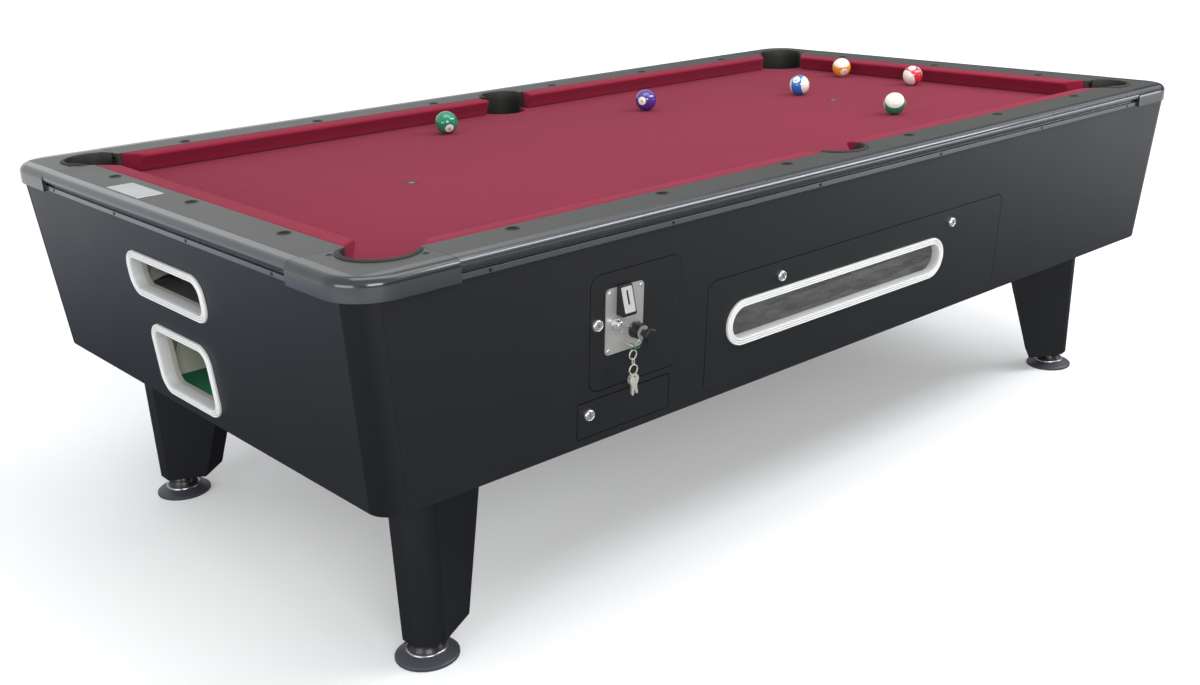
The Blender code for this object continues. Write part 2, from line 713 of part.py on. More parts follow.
# Edge trims: one section run along each side between the caps
trim_bull = TRIM_DEPTH * 0.42
trim_centre = (TRIM_DEPTH - trim_bull, -trim_bull)
trim_section = [(GAP, -TRIM_HEIGHT), (GAP, 0)]
trim_section += arc(trim_centre, trim_bull, 90, -55, 10)
trim_section += [
    (TRIM_DEPTH * 0.66, -TRIM_HEIGHT * 0.63),
    (TRIM_DEPTH * 0.66, -TRIM_HEIGHT * 0.68),
    (TRIM_DEPTH * 0.85, -TRIM_HEIGHT * 0.72),
    (TRIM_DEPTH * 0.85, -TRIM_HEIGHT * 0.96),
    (TRIM_DEPTH * 0.79, -TRIM_HEIGHT),
]
trim_long = SEAM_X - GAP
trim_short = SEAM_Y - GAP
for side, half, turn, edge in (
    ("front", trim_long, -90, RAIL_OUT_Y),
    ("back", trim_long, 90, RAIL_OUT_Y),
    ("left", trim_short, 180, RAIL_OUT_X),
    ("right", trim_short, 0, RAIL_OUT_X),
):
    run = Matrix.Rotation(math.radians(turn), 4, "Z") @ Matrix.Translation((edge, 0, RAIL_TOP))
    strip = plate([trim_section], -half, half, run @ ON_XZ)
    part("edge_trim_" + side, strip, TRIM)

# Cushions: one section, ends cut back to the pocket mouths
nose_drop = 0.0065
cushion_section = [
    (CUSHION_WIDTH - GAP, 0),
    (0.007, -nose_drop * 0.35),
    (0.002, -nose_drop * 0.65),
    (0, -nose_drop),
    (0.003, -nose_drop * 1.8),
    (CUSHION_WIDTH - GAP, -RAIL_THICK * 0.72),
]


def cushion(name, turn, edge, start, start_facing, end, end_facing):
    """A cushion along its own y from start to end, nose at the edge, outward along its x."""
    run = Matrix.Translation((edge, 0, RAIL_TOP))
    mesh = plate([cushion_section], -end - 0.2, -start + 0.2, run @ ON_XZ)
    low = Vector((-math.sin(start_facing), -math.cos(start_facing), 0))
    mesh = trimmed(mesh, Vector((edge, start, 0)), low)
    high = Vector((-math.sin(end_facing), math.cos(end_facing), 0))
    mesh = trimmed(mesh, Vector((edge, end, 0)), high)
    mesh.transform(Matrix.Rotation(math.radians(turn), 4, "Z"))
    part(name, mesh, CUSHION)


long_end = NOSE_X - CORNER_MOUTH
short_end = NOSE_Y - CORNER_MOUTH
long_faces = (CORNER_FACING, SIDE_FACING)
cushion("cushion_front_left", -90, NOSE_Y, -long_end, long_faces[0], -SIDE_MOUTH, long_faces[1])
cushion("cushion_front_right", -90, NOSE_Y, SIDE_MOUTH, long_faces[1], long_end, long_faces[0])
cushion("cushion_back_right", 90, NOSE_Y, -long_end, long_faces[0], -SIDE_MOUTH, long_faces[1])
cushion("cushion_back_left", 90, NOSE_Y, SIDE_MOUTH, long_faces[1], long_end, long_faces[0])
cushion("cushion_left", 180, NOSE_X, -short_end, CORNER_FACING, short_end, CORNER_FACING)
cushion("cushion_right", 0, NOSE_X, -short_end, CORNER_FACING, short_end, CORNER_FACING)


# Pocket liners: horseshoe walls open towards the bed
def horseshoe(inner, outer, start, end, steps):
    """Plan of a wall round part of a circle."""
    return arc((0, 0), outer, start, end, steps) + arc((0, 0), inner, end, start, steps)


liner_low = RAIL_TOP - LINER_DROP
liner_high = RAIL_TOP + LINER_PROUD
for corner, side_x, side_y in CORNERS:
    wall = horseshoe(CORNER_POCKET_RADIUS, LINER_OUT, -55, 145, 22)
    wall = [(side_x * (x + POCKET_X), side_y * (y + POCKET_Y)) for x, y in wall]
    part("pocket_liner_" + corner, plate([wall], liner_low, liner_high), RUBBER)
for side, side_y in (("front", -1), ("back", 1)):
    wall = horseshoe(SIDE_POCKET_RADIUS, SIDE_OUT, 2, 178, 20)
    wall = [(x, side_y * (y + SIDE_Y)) for x, y in wall]
    part("pocket_liner_side_" + side, plate([wall], liner_low, liner_high), RUBBER)

# Corner caps: rounded shells over the corner, open round the pocket
for corner, side_x, side_y in CORNERS:
    mirror = Matrix.Diagonal((side_x, side_y, 1, 1))
    block_low = RAIL_TOP - CAP_HEIGHT
    form = bmesh.new()
    outline = [(SEAM_X, SEAM_Y), (CAP_OUT_X, SEAM_Y)]
    outline += arc((CAP_OUT_X - CAP_CORNER, CAP_OUT_Y - CAP_CORNER), CAP_CORNER, 0, 90, 10)
    outline += [(SEAM_X, CAP_OUT_Y)]
    form.from_mesh(plate([outline], block_low, RAIL_TOP))
    flush = RAIL_TOP - 0.001
    rim = []
    for edge in form.edges:
        low_end = min(vertex.co.z for vertex in edge.verts)
        outside = all(
            vertex.co.x > CAP_OUT_X - 0.001
            or vertex.co.y > CAP_OUT_Y - 0.001
            or (vertex.co.x > CAP_OUT_X - CAP_CORNER and vertex.co.y > CAP_OUT_Y - CAP_CORNER)
            for vertex in edge.verts
        )
        if low_end > flush and outside and len(edge.link_faces) == 2:
            sides = [abs(face.normal.z) for face in edge.link_faces]
            if min(sides) < 0.5 < max(sides):
                rim.append(edge)
    bmesh.ops.bevel(form, geom=rim, offset=CAP_ROUND, segments=5, profile=0.5, affect="EDGES")
    shell = tidied(form, mirror)
    if side_x * side_y < 0:
        shell.flip_normals()
    cap = part("corner_cap_" + corner, shell, CAP)
    wall = CAP_WALL
    hollow = [(SEAM_X - 0.01, SEAM_Y - 0.01), (CAP_OUT_X - wall, SEAM_Y - 0.01)]
    hollow += arc((CAP_OUT_X - CAP_CORNER, CAP_OUT_Y - CAP_CORNER), CAP_CORNER - wall, 0, 90, 10)
    hollow += [(SEAM_X - 0.01, CAP_OUT_Y - wall)]
    hollow = [(side_x * x, side_y * y) for x, y in hollow]
    cut(cap, plate([hollow], block_low - 0.01, RAIL_TOP - wall))
    inner = rectangle(SEAM_X - 0.02, RAIL_IN_X, SEAM_Y - 0.02, RAIL_IN_Y)
    inner = [(side_x * x, side_y * y) for x, y in inner]
    cut(cap, plate([inner], RAIL_TOP - 0.02, RAIL_TOP + 0.02))
    bore = circle((side_x * POCKET_X, side_y * POCKET_Y), LINER_OUT + GAP, 40)
    cut(cap, plate([bore], RAIL_TOP - 0.021, RAIL_TOP + 0.021))

# Coin door and what it carries
hinge_door = at(FRONT, DOOR_RIGHT, 0, (DOOR_LOW + DOOR_HIGH) / 2)
door_outline = rounded(DOOR_LEFT, DOOR_RIGHT, DOOR_LOW, DOOR_HIGH, DOOR_ROUND)
mech_hole = centred(PLATE_X, PLATE_HEIGHT, PLATE_SIZE_X, PLATE_SIZE_Z, 0.014, PLATE_BORDER)
lock_hole = circle((DOOR_LOCK_X, DOOR_LOCK_HEIGHT), BARREL_RADIUS + GAP, 20)
part(
    "coin_door",
    on_front([door_outline, mech_hole, lock_hole], 0, LEAF_THICK),
    LAMINATE,
    hinge_door,
)

plate_outline = centred(PLATE_X, PLATE_HEIGHT, PLATE_SIZE_X, PLATE_SIZE_Z, 0.009)
knob_hole = circle((KNOB_X, KNOB_HEIGHT), BUSH_RADIUS - 0.003, 20)
barrel_hole = circle((PLATE_LOCK_X, PLATE_LOCK_HEIGHT), BARREL_RADIUS + GAP, 20)
body_x = ACCEPTOR_SIZE_X / 2 - 0.003
body_z = ACCEPTOR_BODY_Z / 2
body_hole = rectangle(
    ACCEPTOR_X - body_x - GAP,
    ACCEPTOR_X + body_x + GAP,
    ACCEPTOR_HEIGHT - body_z - GAP,
    ACCEPTOR_HEIGHT + body_z + GAP,
)
plate_low = -PLATE_THICK - GAP
coin_plate = part(
    "coin_plate",
    on_front([plate_outline, knob_hole, barrel_hole, body_hole], plate_low, -GAP),
    STEEL,
    hinge_door,
)
bush = [
    circle((KNOB_X, KNOB_HEIGHT), BUSH_RADIUS, 24),
    circle((KNOB_X, KNOB_HEIGHT), SHAFT_RADIUS + GAP, 20),
]
join(coin_plate, on_front(bush, -BUSH_REACH, -GAP - PLATE_THICK / 2))
loop_half = 0.0045
loop_wire = 0.0013
wire = [(LOOP_X - loop_half, -PLATE_THICK / 2 - GAP, LOOP_HEIGHT)]
wire += [
    (LOOP_X + x, -LOOP_REACH + y, LOOP_HEIGHT)
    for x, y in arc((0, 0), loop_half, 180, 360, 8)
]
wire += [(LOOP_X + loop_half, -PLATE_THICK / 2 - GAP, LOOP_HEIGHT)]
join(coin_plate, tube(wire, loop_wire, FRONT))

face_back = plate_low - GAP
wedge_low = ACCEPTOR_HEIGHT - ACCEPTOR_SIZE_Z / 2
wedge_high = ACCEPTOR_HEIGHT + ACCEPTOR_SIZE_Z / 2
wedge = [
    (face_back, wedge_low),
    (face_back, wedge_high),
    (face_back - 0.006, wedge_high),
    (face_back - 0.021, wedge_low + 0.004),
    (face_back - 0.019, wedge_low),
]
acceptor_left = ACCEPTOR_X - ACCEPTOR_SIZE_X / 2
acceptor_right = ACCEPTOR_X + ACCEPTOR_SIZE_X / 2
acceptor = part(
    "coin_acceptor",
    on_end([wedge], acceptor_left, acceptor_right, FRONT),
    BLACK,
    hinge_door,
)
join(
    acceptor,
    block(
        (ACCEPTOR_X - body_x, face_back - 0.003, ACCEPTOR_HEIGHT - body_z),
        (ACCEPTOR_X + body_x, ACCEPTOR_DEPTH, ACCEPTOR_HEIGHT + body_z),
        FRONT,
    ),
)
slot = [
    (face_back - 0.03, wedge_low + 0.016),
    (face_back - 0.006, wedge_low + 0.016),
    (face_back - 0.002, wedge_low + 0.042),
    (face_back - 0.03, wedge_low + 0.042),
]
cut(acceptor, on_end([slot], ACCEPTOR_X - 0.0016, ACCEPTOR_X + 0.0016, FRONT))

# Turned pieces of the front face outward, their heights counted from the face
OUTWARD = Matrix.Rotation(math.radians(90), 4, "X")


def fitting(x, height):
    """The frame of a turned piece on the front, its axis outward."""
    return FRONT @ Matrix.Translation((x, 0, height)) @ OUTWARD


knob_base = -plate_low + GAP
knob_profile = [
    (0, KNOB_REACH),
    (0.0095, KNOB_REACH),
    (0.0135, KNOB_REACH - 0.0025),
    (0.0145, KNOB_REACH - 0.007),
    (0.0135, KNOB_REACH - KNOB_HEAD + 0.001),
    (0.0080, KNOB_REACH - KNOB_HEAD),
    (SHAFT_RADIUS, KNOB_REACH - KNOB_HEAD),
    (SHAFT_RADIUS, -KNOB_TAIL),
    (0, -KNOB_TAIL),
]
knob_axis = at(FRONT, KNOB_X, -KNOB_REACH, KNOB_HEIGHT)
part("push_knob", turned(knob_profile, fitting(KNOB_X, KNOB_HEIGHT), 24), BLACK, knob_axis)

barrel_profile = [
    (0, 0.019),
    (0.0072, 0.019),
    (0.0082, 0.018),
    (0.0086, knob_base + 0.004),
    (0.0110, knob_base + 0.0035),
    (0.0115, knob_base),
    (BARREL_RADIUS, knob_base),
    (BARREL_RADIUS, -0.016),
    (0, -0.016),
]
plate_lock = part(
    "plate_lock",
    turned(barrel_profile, fitting(PLATE_LOCK_X, PLATE_LOCK_HEIGHT), 24),
    CHROME,
    at(FRONT, PLATE_LOCK_X, 0, PLATE_LOCK_HEIGHT),
)
cut(
    plate_lock,
    block(
        (PLATE_LOCK_X - 0.0008, -0.025, PLATE_LOCK_HEIGHT - 0.0042),
        (PLATE_LOCK_X + 0.0008, -0.0145, PLATE_LOCK_HEIGHT + 0.0042),
        FRONT,
    ),
)


def cam_lock(name, x, height, cam):
    """A round lock through a leaf, with the cam behind it as a box of x and height."""
    profile = [
        (0, 0.0052),
        (0.0078, 0.0052),
        (0.0086, 0.0040),
        (LOCK_RADIUS - 0.0006, 0.0040),
        (LOCK_RADIUS, 0.0032),
        (LOCK_RADIUS, GAP),
        (BARREL_RADIUS, GAP),
        (BARREL_RADIUS, -PANEL_THICK - 0.0022),
        (0, -PANEL_THICK - 0.0022),
    ]
    lock = part(name, turned(profile, fitting(x, height), 20), CHROME, at(FRONT, x, 0, height))
    left, right, low, high = cam
    join(
        lock,
        block(
            (x + left, PANEL_THICK + 0.0012, height + low),
            (x + right, PANEL_THICK + 0.0042, height + high),
            FRONT,
        ),
    )
    cut(
        lock,
        block((x - 0.0007, -0.01, height - 0.004), (x + 0.0007, -0.0030, height + 0.004), FRONT),
    )


cam_lock("coin_door_lock", DOOR_LOCK_X, DOOR_LOCK_HEIGHT, (-0.006, 0.006, -0.034, 0.006))
cam_lock("drawer_lock", DRAWER_LOCK_X, DRAWER_LOCK_HEIGHT, (-0.006, 0.006, -0.034, 0.006))
cam_lock("window_lock_left", -LEAF_LOCK_X, LEAF_LOCK_HEIGHT, (-0.006, 0.042, -0.006, 0.006))
cam_lock("window_lock_right", LEAF_LOCK_X, LEAF_LOCK_HEIGHT, (-0.042, 0.006, -0.006, 0.006))

# Cash drawer: a sloping front and a tray that stands on the cabinet floor
drawer_outline = rounded(
    DRAWER_LEFT, DRAWER_RIGHT, DRAWER_LOW + SEAM, DRAWER_HIGH - DRAWER_LIFT, 0.003, 3
)
drawer_lock_hole = circle((DRAWER_LOCK_X, DRAWER_LOCK_HEIGHT), BARREL_RADIUS + GAP, 20)
drawer_at = at(FRONT, (DRAWER_LEFT + DRAWER_RIGHT) / 2, 0, (DRAWER_LOW + DRAWER_HIGH) / 2)
drawer = part(
    "cash_drawer",
    on_front([drawer_outline, drawer_lock_hole], 0, LEAF_THICK),
    LAMINATE,
    drawer_at,
)
tray_low = FLOOR_TOP + GAP
tray_front = at(FRONT, 0, LEAF_THICK, DRAWER_LOW).y
tray_back = tray_front + TRAY_DEPTH
tray = part(
    "tray",
    block(
        (TRAY_LEFT, tray_front - 0.010, tray_low),
        (TRAY_RIGHT, tray_back, tray_low + TRAY_HIGH),
    ),
    SHEET,
)
cut(
    tray,
    block(
        (TRAY_LEFT + TRAY_WALL, tray_front + 0.003, tray_low + TRAY_WALL),
        (TRAY_RIGHT - TRAY_WALL, tray_back - TRAY_WALL, tray_low + TRAY_HIGH + 0.02),
    ),
)
join(drawer, evaluated_mesh(tray, WORLD))

# Window leaf, hung on its lower edge, with the ball window in it
hinge_leaf = at(FRONT, (LEAF_LEFT + LEAF_RIGHT) / 2, 0, LEAF_LOW)
leaf_outline = rounded(LEAF_LEFT, LEAF_RIGHT, LEAF_LOW, LEAF_HIGH, LEAF_ROUND)
window_hole = centred(WINDOW_X, WINDOW_HEIGHT, WINDOW_SIZE_X, WINDOW_SIZE_Z, 1.0, BEZEL_REST, 8)
leaf_locks = [
    circle((side * LEAF_LOCK_X, LEAF_LOCK_HEIGHT), BARREL_RADIUS + GAP, 20) for side in (-1, 1)
]
part(
    "window_leaf",
    on_front([leaf_outline, window_hole, *leaf_locks], 0, LEAF_THICK),
    LAMINATE,
    hinge_leaf,
)


def bezel(name, lay, x, height, size_x, size_z, radius, depth, cleared, origin, steps):
    """A window frame: proud flange with a ridge, and a sleeve cleared to some depth."""
    outer = centred(x, height, size_x, size_z, radius, 0, steps)
    ridge = centred(x, height, size_x, size_z, radius, BEZEL_FLANGE * 0.35, steps)
    sleeve = centred(x, height, size_x, size_z, radius, BEZEL_REST + GAP, steps)
    clear = centred(x, height, size_x, size_z, radius, BEZEL_FLANGE, steps)
    frame = part(name, lay([outer], -BEZEL_PROUD * 0.55, -GAP), FRAME_GREY, origin)
    join(frame, lay([ridge], -BEZEL_PROUD, -BEZEL_PROUD * 0.3))
    join(frame, lay([sleeve], -BEZEL_PROUD * 0.2, depth))
    cut(frame, lay([clear], -BEZEL_PROUD * 2, cleared))


bezel(
    "ball_window",
    on_front,
    WINDOW_X,
    WINDOW_HEIGHT,
    WINDOW_SIZE_X,
    WINDOW_SIZE_Z,
    1.0,
    LEAF_THICK - 0.001,
    LEAF_THICK - 0.004,
    hinge_leaf,
    8,
)
for name, height, size_y, size_z in (
    ("cue_ball_window", UPPER_HEIGHT, UPPER_SIZE_Y, UPPER_SIZE_Z),
    ("object_ball_window", LOWER_HEIGHT, LOWER_SIZE_Y, LOWER_SIZE_Z),
):
    through = PANEL_THICK + 0.012
    bezel(name, on_end, 0, height, size_y, size_z, BEZEL_ROUND, through, through + 0.01, (0, 0, 0), 6)

# Ball trough behind the front window: a standing back and a falling shelf with a lip
trough_front = at(FRONT, 0, PANEL_THICK, TROUGH_FLOOR).y + TROUGH_FRONT - PANEL_THICK + 0.022
trough_back = trough_front + TROUGH_WIDTH
trough_low = FLOOR_TOP + GAP
trough_left = TROUGH_LEFT - 0.03
pin_height = FLOOR_TOP + TROUGH_FLOOR + 0.072
pin_x = TROUGH_LEFT - 0.012
trough = part(
    "ball_trough",
    on_front(
        [
            rectangle(trough_left, TROUGH_RIGHT, trough_low, FLOOR_TOP + TROUGH_TOP),
            circle((pin_x, pin_height), GATE_PIN + GAP, 16),
        ],
        trough_back,
        trough_back + TROUGH_SHEET,
        WORLD,
    ),
    SHEET,
)
shelf_section = [
    (trough_front, 0.012),
    (trough_front, -TROUGH_SHEET),
    (trough_back + TROUGH_SHEET / 2, -TROUGH_SHEET),
    (trough_back + TROUGH_SHEET / 2, 0),
    (trough_front + TROUGH_SHEET, 0),
    (trough_front + TROUGH_SHEET, 0.012),
]
trough_length = TROUGH_RIGHT - 0.002 - TROUGH_LEFT
chute = on_end([shelf_section], 0, trough_length, WORLD)
fall = Matrix.Identity(4)
fall[2][0] = TROUGH_FALL / trough_length
chute.transform(Matrix.Translation((TROUGH_LEFT, 0, FLOOR_TOP + TROUGH_FLOOR)) @ fall)
join(trough, chute)

# Release gate across the low end of the trough, hung on its pin
gate_at = (pin_x, trough_front + TROUGH_WIDTH / 2, pin_height)
gate_low = FLOOR_TOP + TROUGH_FLOOR + 0.004
gate = part(
    "release_gate",
    block(
        (pin_x - 0.001, trough_front + 0.002, gate_low),
        (pin_x + 0.001, trough_back - 0.004, pin_height),
    ),
    STEEL,
    gate_at,
)
join(
    gate,
    rod(
        GATE_PIN,
        (pin_x, trough_front + 0.001, pin_height),
        (pin_x, trough_back + TROUGH_SHEET + 0.004, pin_height),
        16,
    ),
)

# Bunch of keys that hangs from the wire loop of the coin plate
loop_end = at(FRONT, LOOP_X, -LOOP_REACH - loop_half, LOOP_HEIGHT)
tie_radius = 0.0065
tie_wire = 0.0011
swing = Matrix.Translation(loop_end)
tie_drop = -tie_radius + tie_wire + loop_wire + GAP
tie = [(0, x, y + tie_drop) for x, y in circle((0, 0), tie_radius, 16)]
keys = part("key_bunch", tube(tie, tie_wire, swing, True), STEEL, loop_end)
ring_radius = 0.0085
ring_drop = tie_drop - tie_radius - ring_radius + 0.0004
ring = [(x, 0, y + ring_drop) for x, y in circle((0, 0), ring_radius, 18)]
join(keys, tube(ring, 0.0011, swing, True))
clip_high = ring_drop - ring_radius + 0.0008
clip_low = clip_high - 0.012
join(keys, block((-0.0025, -0.0012, clip_low), (0.0025, 0.0012, clip_high), swing))
lower_radius = 0.0095
lower_drop = clip_low - lower_radius + 0.0006
lower_ring = [(x, 0, y + lower_drop) for x, y in circle((0, 0), lower_radius, 18)]
join(keys, tube(lower_ring, 0.0011, swing, True))
head = 0.0105
key_top = lower_drop - lower_radius + 0.0012
for lean_key, depth in ((9, -0.0012), (-11, 0.0010)):
    turn_key = Matrix.Translation((0, 0, key_top)) @ Matrix.Rotation(math.radians(lean_key), 4, "Y")
    grip = arc((0, -head), head, 0, 330, 11)
    blade = [(0.0036, -2 * head + 0.001), (0.0036, -2 * head - 0.016), (0, -2 * head - 0.019)]
    blade += [(-0.0036, -2 * head - 0.016), (-0.0036, -2 * head + 0.001)]
    join(keys, on_front([grip], depth - 0.0011, depth + 0.0011, swing @ turn_key))
    join(keys, on_front([blade], depth - 0.0009, depth + 0.0009, swing @ turn_key))

bpy.context.view_layer.update()
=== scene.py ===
import math

import bmesh
import bpy
from bpy.props import FloatProperty, FloatVectorProperty, PointerProperty
from mathutils import Matrix, Vector


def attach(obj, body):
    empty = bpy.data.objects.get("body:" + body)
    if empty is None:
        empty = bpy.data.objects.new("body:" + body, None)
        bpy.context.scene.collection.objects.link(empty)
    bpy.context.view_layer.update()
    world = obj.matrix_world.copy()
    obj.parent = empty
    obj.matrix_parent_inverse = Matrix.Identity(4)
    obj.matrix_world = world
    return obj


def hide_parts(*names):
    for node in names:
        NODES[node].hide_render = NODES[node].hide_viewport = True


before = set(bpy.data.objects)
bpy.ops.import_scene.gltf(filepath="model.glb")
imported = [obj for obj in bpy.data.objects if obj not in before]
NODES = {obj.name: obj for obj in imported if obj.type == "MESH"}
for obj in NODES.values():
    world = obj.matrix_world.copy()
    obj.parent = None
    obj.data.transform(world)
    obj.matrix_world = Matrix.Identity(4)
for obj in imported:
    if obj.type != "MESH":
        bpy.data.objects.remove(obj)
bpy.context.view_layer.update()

bl_info = {
    "name": "Pool table dressing",
    "version": (1, 0, 0),
    "blender": (4, 5, 0),
    "location": "View3D > Sidebar > Table",
    "description": "Cloth, cushions, fittings and finishes for the packed coin-operated pool table",
    "category": "Object",
}

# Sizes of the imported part, in metres; pairs are along x and y, or across and up on a face
NOSE = (1.12, 0.56)
CORNER_MOUTH = 0.085
SIDE_MOUTH = 0.0695
CORNER_FACING = math.radians(40)
SIDE_FACING = math.radians(-9)
RAIL_TOP = 0.806
RAIL_OUT = (1.248, 0.688)
CLOTH_TOP = 0.7633
CLOTH_HALF = (1.1657, 0.6057)
POCKET = (1.14, 0.58)
POCKET_IN = 0.062
POCKET_OUT = 0.0675
SIDE_POCKET_Y = 0.595
SIDE_IN = 0.055
SIDE_OUT = 0.0605
LINER_LOW = 0.721
LOW_X = 1.2345
LOW_Y = 0.6745
CABINET_BOTTOM = 0.386
LEAN = math.atan2(0.0323, 0.38)
PANEL_THICK = 0.028
LEAF_THICK = 0.018
POST_ROUND = 0.045
GAP = 0.0003
PLATE_FACE = 0.0023
PLATE_MID = (-0.7204, 0.2305)
PLATE_SIZE = (0.091, 0.127)
KNOB = (-0.694, 0.2025)
BUSH_REACH = 0.024
ACCEPTOR = (-0.7255, 0.2694)
ACCEPTOR_SIZE = (0.031, 0.055)
LOOP = (-0.728, 0.190)
LOOP_REACH = 0.029
LOOP_HALF = 0.0045
WINDOW = (-0.0905, 0.143)
WINDOW_SIZE = (0.717, 0.0975)
UPPER_SIZE = (0.330, 0.0955)
UPPER_HEIGHT = 0.2725
LOWER_SIZE = (0.254, 0.152)
LOWER_HEIGHT = 0.0975
WINDOW_ROUND = 0.04
FLANGE = 0.016
SLEEVE = 0.0083
PROUD = 0.006
FLOOR_TOP = 0.4043
SHELF_TOP = 0.61
BOX_HALF = 0.195
BOX_BACK = -0.9561 - 0.012
BOX_WALL = 0.013
FELT_FRONT = -1.2005
MAT_FRONT = -1.2155
LEG = (1.08, 0.515)
CORNERS = (
    ("front_left", -1, -1),
    ("front_right", 1, -1),
    ("back_left", -1, 1),
    ("back_right", 1, 1),
)
LOCKS = {
    "coin_door_lock": (-0.784, 0.231),
    "drawer_lock": (-0.800, 0.0605),
    "window_lock_left": (-0.2925, 0.2155),
    "window_lock_right": (0.2925, 0.2155),
}

# Places of the small things on the rails, the bed and the coin plate
SIGHT_LINES = (1.187, 0.629)
LONG_SIGHTS = (0.2055, 0.557, 0.908)
END_SIGHTS = (-0.355, 0.0, 0.355)
LIP_OUT = 0.0255
LIP_HEIGHT = 0.7735
LONG_SCREWS = [-1.02 + 0.41 * step for step in range(6)]
END_SCREWS = [-0.4656 + 0.314 * step for step in range(4)]
CAP_SCREWS = ((0.069, -0.038), (-0.041, 0.071))
RAIL_PLATE = (-1.2175, 0.185)
RAIL_PLATE_SIZE = (0.055, 0.150)
BED_SPOTS = ((-0.705, -0.012), (0.695, -0.012))
RIVETS = ((-0.7125, 0.2290), (-0.7245, 0.2035), (-0.7120, 0.2120))

# Balls: place on the bed, number, colour, band or not, direction of the number, axis of the band
BALLS = (
    ((-0.3124, 0.4181), 6, (0.006, 0.2, 0.105), False, (-0.3, -0.86, -0.42), (0.3, 0.2, 1)),
    ((0.2486, 0.2783), 4, (0.075, 0.028, 0.25), False, (-0.8, -0.35, 0.05), (0.3, 0.2, 1)),
    ((0.7089, 0.1252), 10, (0.012, 0.15, 0.5), True, (-0.82, -0.05, 0.69), (0.294, -0.9, 0.07)),
    ((1.068, 0.2628), 13, (0.8, 0.29, 0.03), True, (-0.378, -0.586, -0.3), (-0.3, -0.26, 0.91)),
    ((1.0532, -0.0175), 11, (0.62, 0.03, 0.05), True, (0.1, -0.25, 0.9), (-0.914, 0.185, -0.38)),
    ((0.6076, -0.2874), 14, (0.006, 0.22, 0.11), True, (0.735, -0.678, 0), (-0.616, -0.46, 0.723)),
)

# Finishes: colour or the name of one that can be changed, roughness, fineness of the grain,
# strength and depth of its bump, mottling, stretch of the grain, and constants of the shader
EVEN = (1, 1, 1)
MATT = {"Specular_IOR_Level": 0.1}
GLOSS = {"Metallic": 0.55, "Coat_Weight": 0.5, "Coat_Roughness": 0.09}
BRIGHT = {"Metallic": 0.85}
DULL = {"Metallic": 0.6}
FINISHES = {
    "black_laminate": (
        "laminate", 0.42, 700, 0.12, 0.0002, 0.16, EVEN, {"Specular_IOR_Level": 0.40}
    ),
    "slate": ((0.075, 0.08, 0.085), 0.7, 260, 0.3, 0.0004, 0.2, EVEN, {}),
    "grey_sheet": (
        (0.30, 0.31, 0.32), 0.34, 30, 0.05, 0.0004, 0.5, (0.25, 1, 5), {"Metallic": 0.75}
    ),
    "beige_board": ("board", 0.62, 160, 0.2, 0.0004, 0.12, (0.06, 1, 1), {}),
    "green_felt": ("felt", 0.92, 1500, 0.5, 0.0006, 0.3, EVEN, MATT),
    "dark_mat": ((0.15, 0.15, 0.155), 0.85, 1200, 0.4, 0.0005, 0.3, EVEN, {}),
    "grey_rail_laminate": ("rail", 0.38, 620, 0.15, 0.0002, 0.2, EVEN, {}),
    "extrusion_long": ("trim", 0.24, 420, 0.02, 0.0001, 0.12, (0.004, 1, 1), GLOSS),
    "extrusion_end": ("trim", 0.24, 420, 0.02, 0.0001, 0.12, (1, 0.004, 1), GLOSS),
    "sight_ring": ((0.014, 0.014, 0.008), 0.45, 900, 0.3, 0.0002, 0.3, EVEN, {}),
    # painted shade: the near-black middle of each sight stands for the shade in its hollow, over
    # dark plastic
    "sight_cup": ((0.0035, 0.0035, 0.003), 0.6, 900, 0.3, 0.0002, 0.3, EVEN, MATT),
    "blackened_screw": ((0.03, 0.03, 0.03), 0.35, 900, 0.1, 0.0002, 0.2, EVEN, {"Metallic": 0.8}),
    "plate_silver": ((0.62, 0.62, 0.62), 0.30, 260, 0.1, 0.0001, 0.12, (0.03, 1, 1), BRIGHT),
    "spot_ring": ((0.022, 0.022, 0.022), 0.6, 900, 0.2, 0.0002, 0.35, EVEN, {}),
    "spot_middle": ((0.20, 0.20, 0.19), 0.6, 900, 0.2, 0.0002, 0.3, EVEN, {}),
    "black_rubber": ("liner", 0.55, 800, 0.3, 0.0003, 0.25, EVEN, {}),
    "brushed_steel": (
        (0.42, 0.412, 0.395), 0.34, 420, 0.1, 0.0001, 0.14, (1, 1, 0.03), {"Metallic": 0.45}
    ),
    "chrome": ((0.80, 0.80, 0.79), 0.15, 300, 0.03, 0.0001, 0.06, EVEN, BRIGHT),
    "black_plastic": ((0.011, 0.011, 0.012), 0.30, 900, 0.1, 0.0001, 0.2, EVEN, {}),
    "foot_black": ((0.052, 0.053, 0.064), 0.40, 700, 0.15, 0.0002, 0.2, EVEN, {}),
    "collar_steel": ((0.36, 0.36, 0.38), 0.20, 300, 0.03, 0.0001, 0.06, EVEN, BRIGHT),
    "acceptor_face": ((0.66, 0.65, 0.62), 0.34, 500, 0.08, 0.0001, 0.12, EVEN, DULL),
    "key_nickel": ((0.66, 0.63, 0.55), 0.28, 500, 0.08, 0.0001, 0.15, EVEN, DULL),
    "tie_green": ((0.03, 0.20, 0.06), 0.4, 500, 0.1, 0.0002, 0.2, EVEN, {}),
    "ink": ((0.012, 0.012, 0.012), 0.3, 900, 0.02, 0.0002, 0.2, EVEN, {}),
}

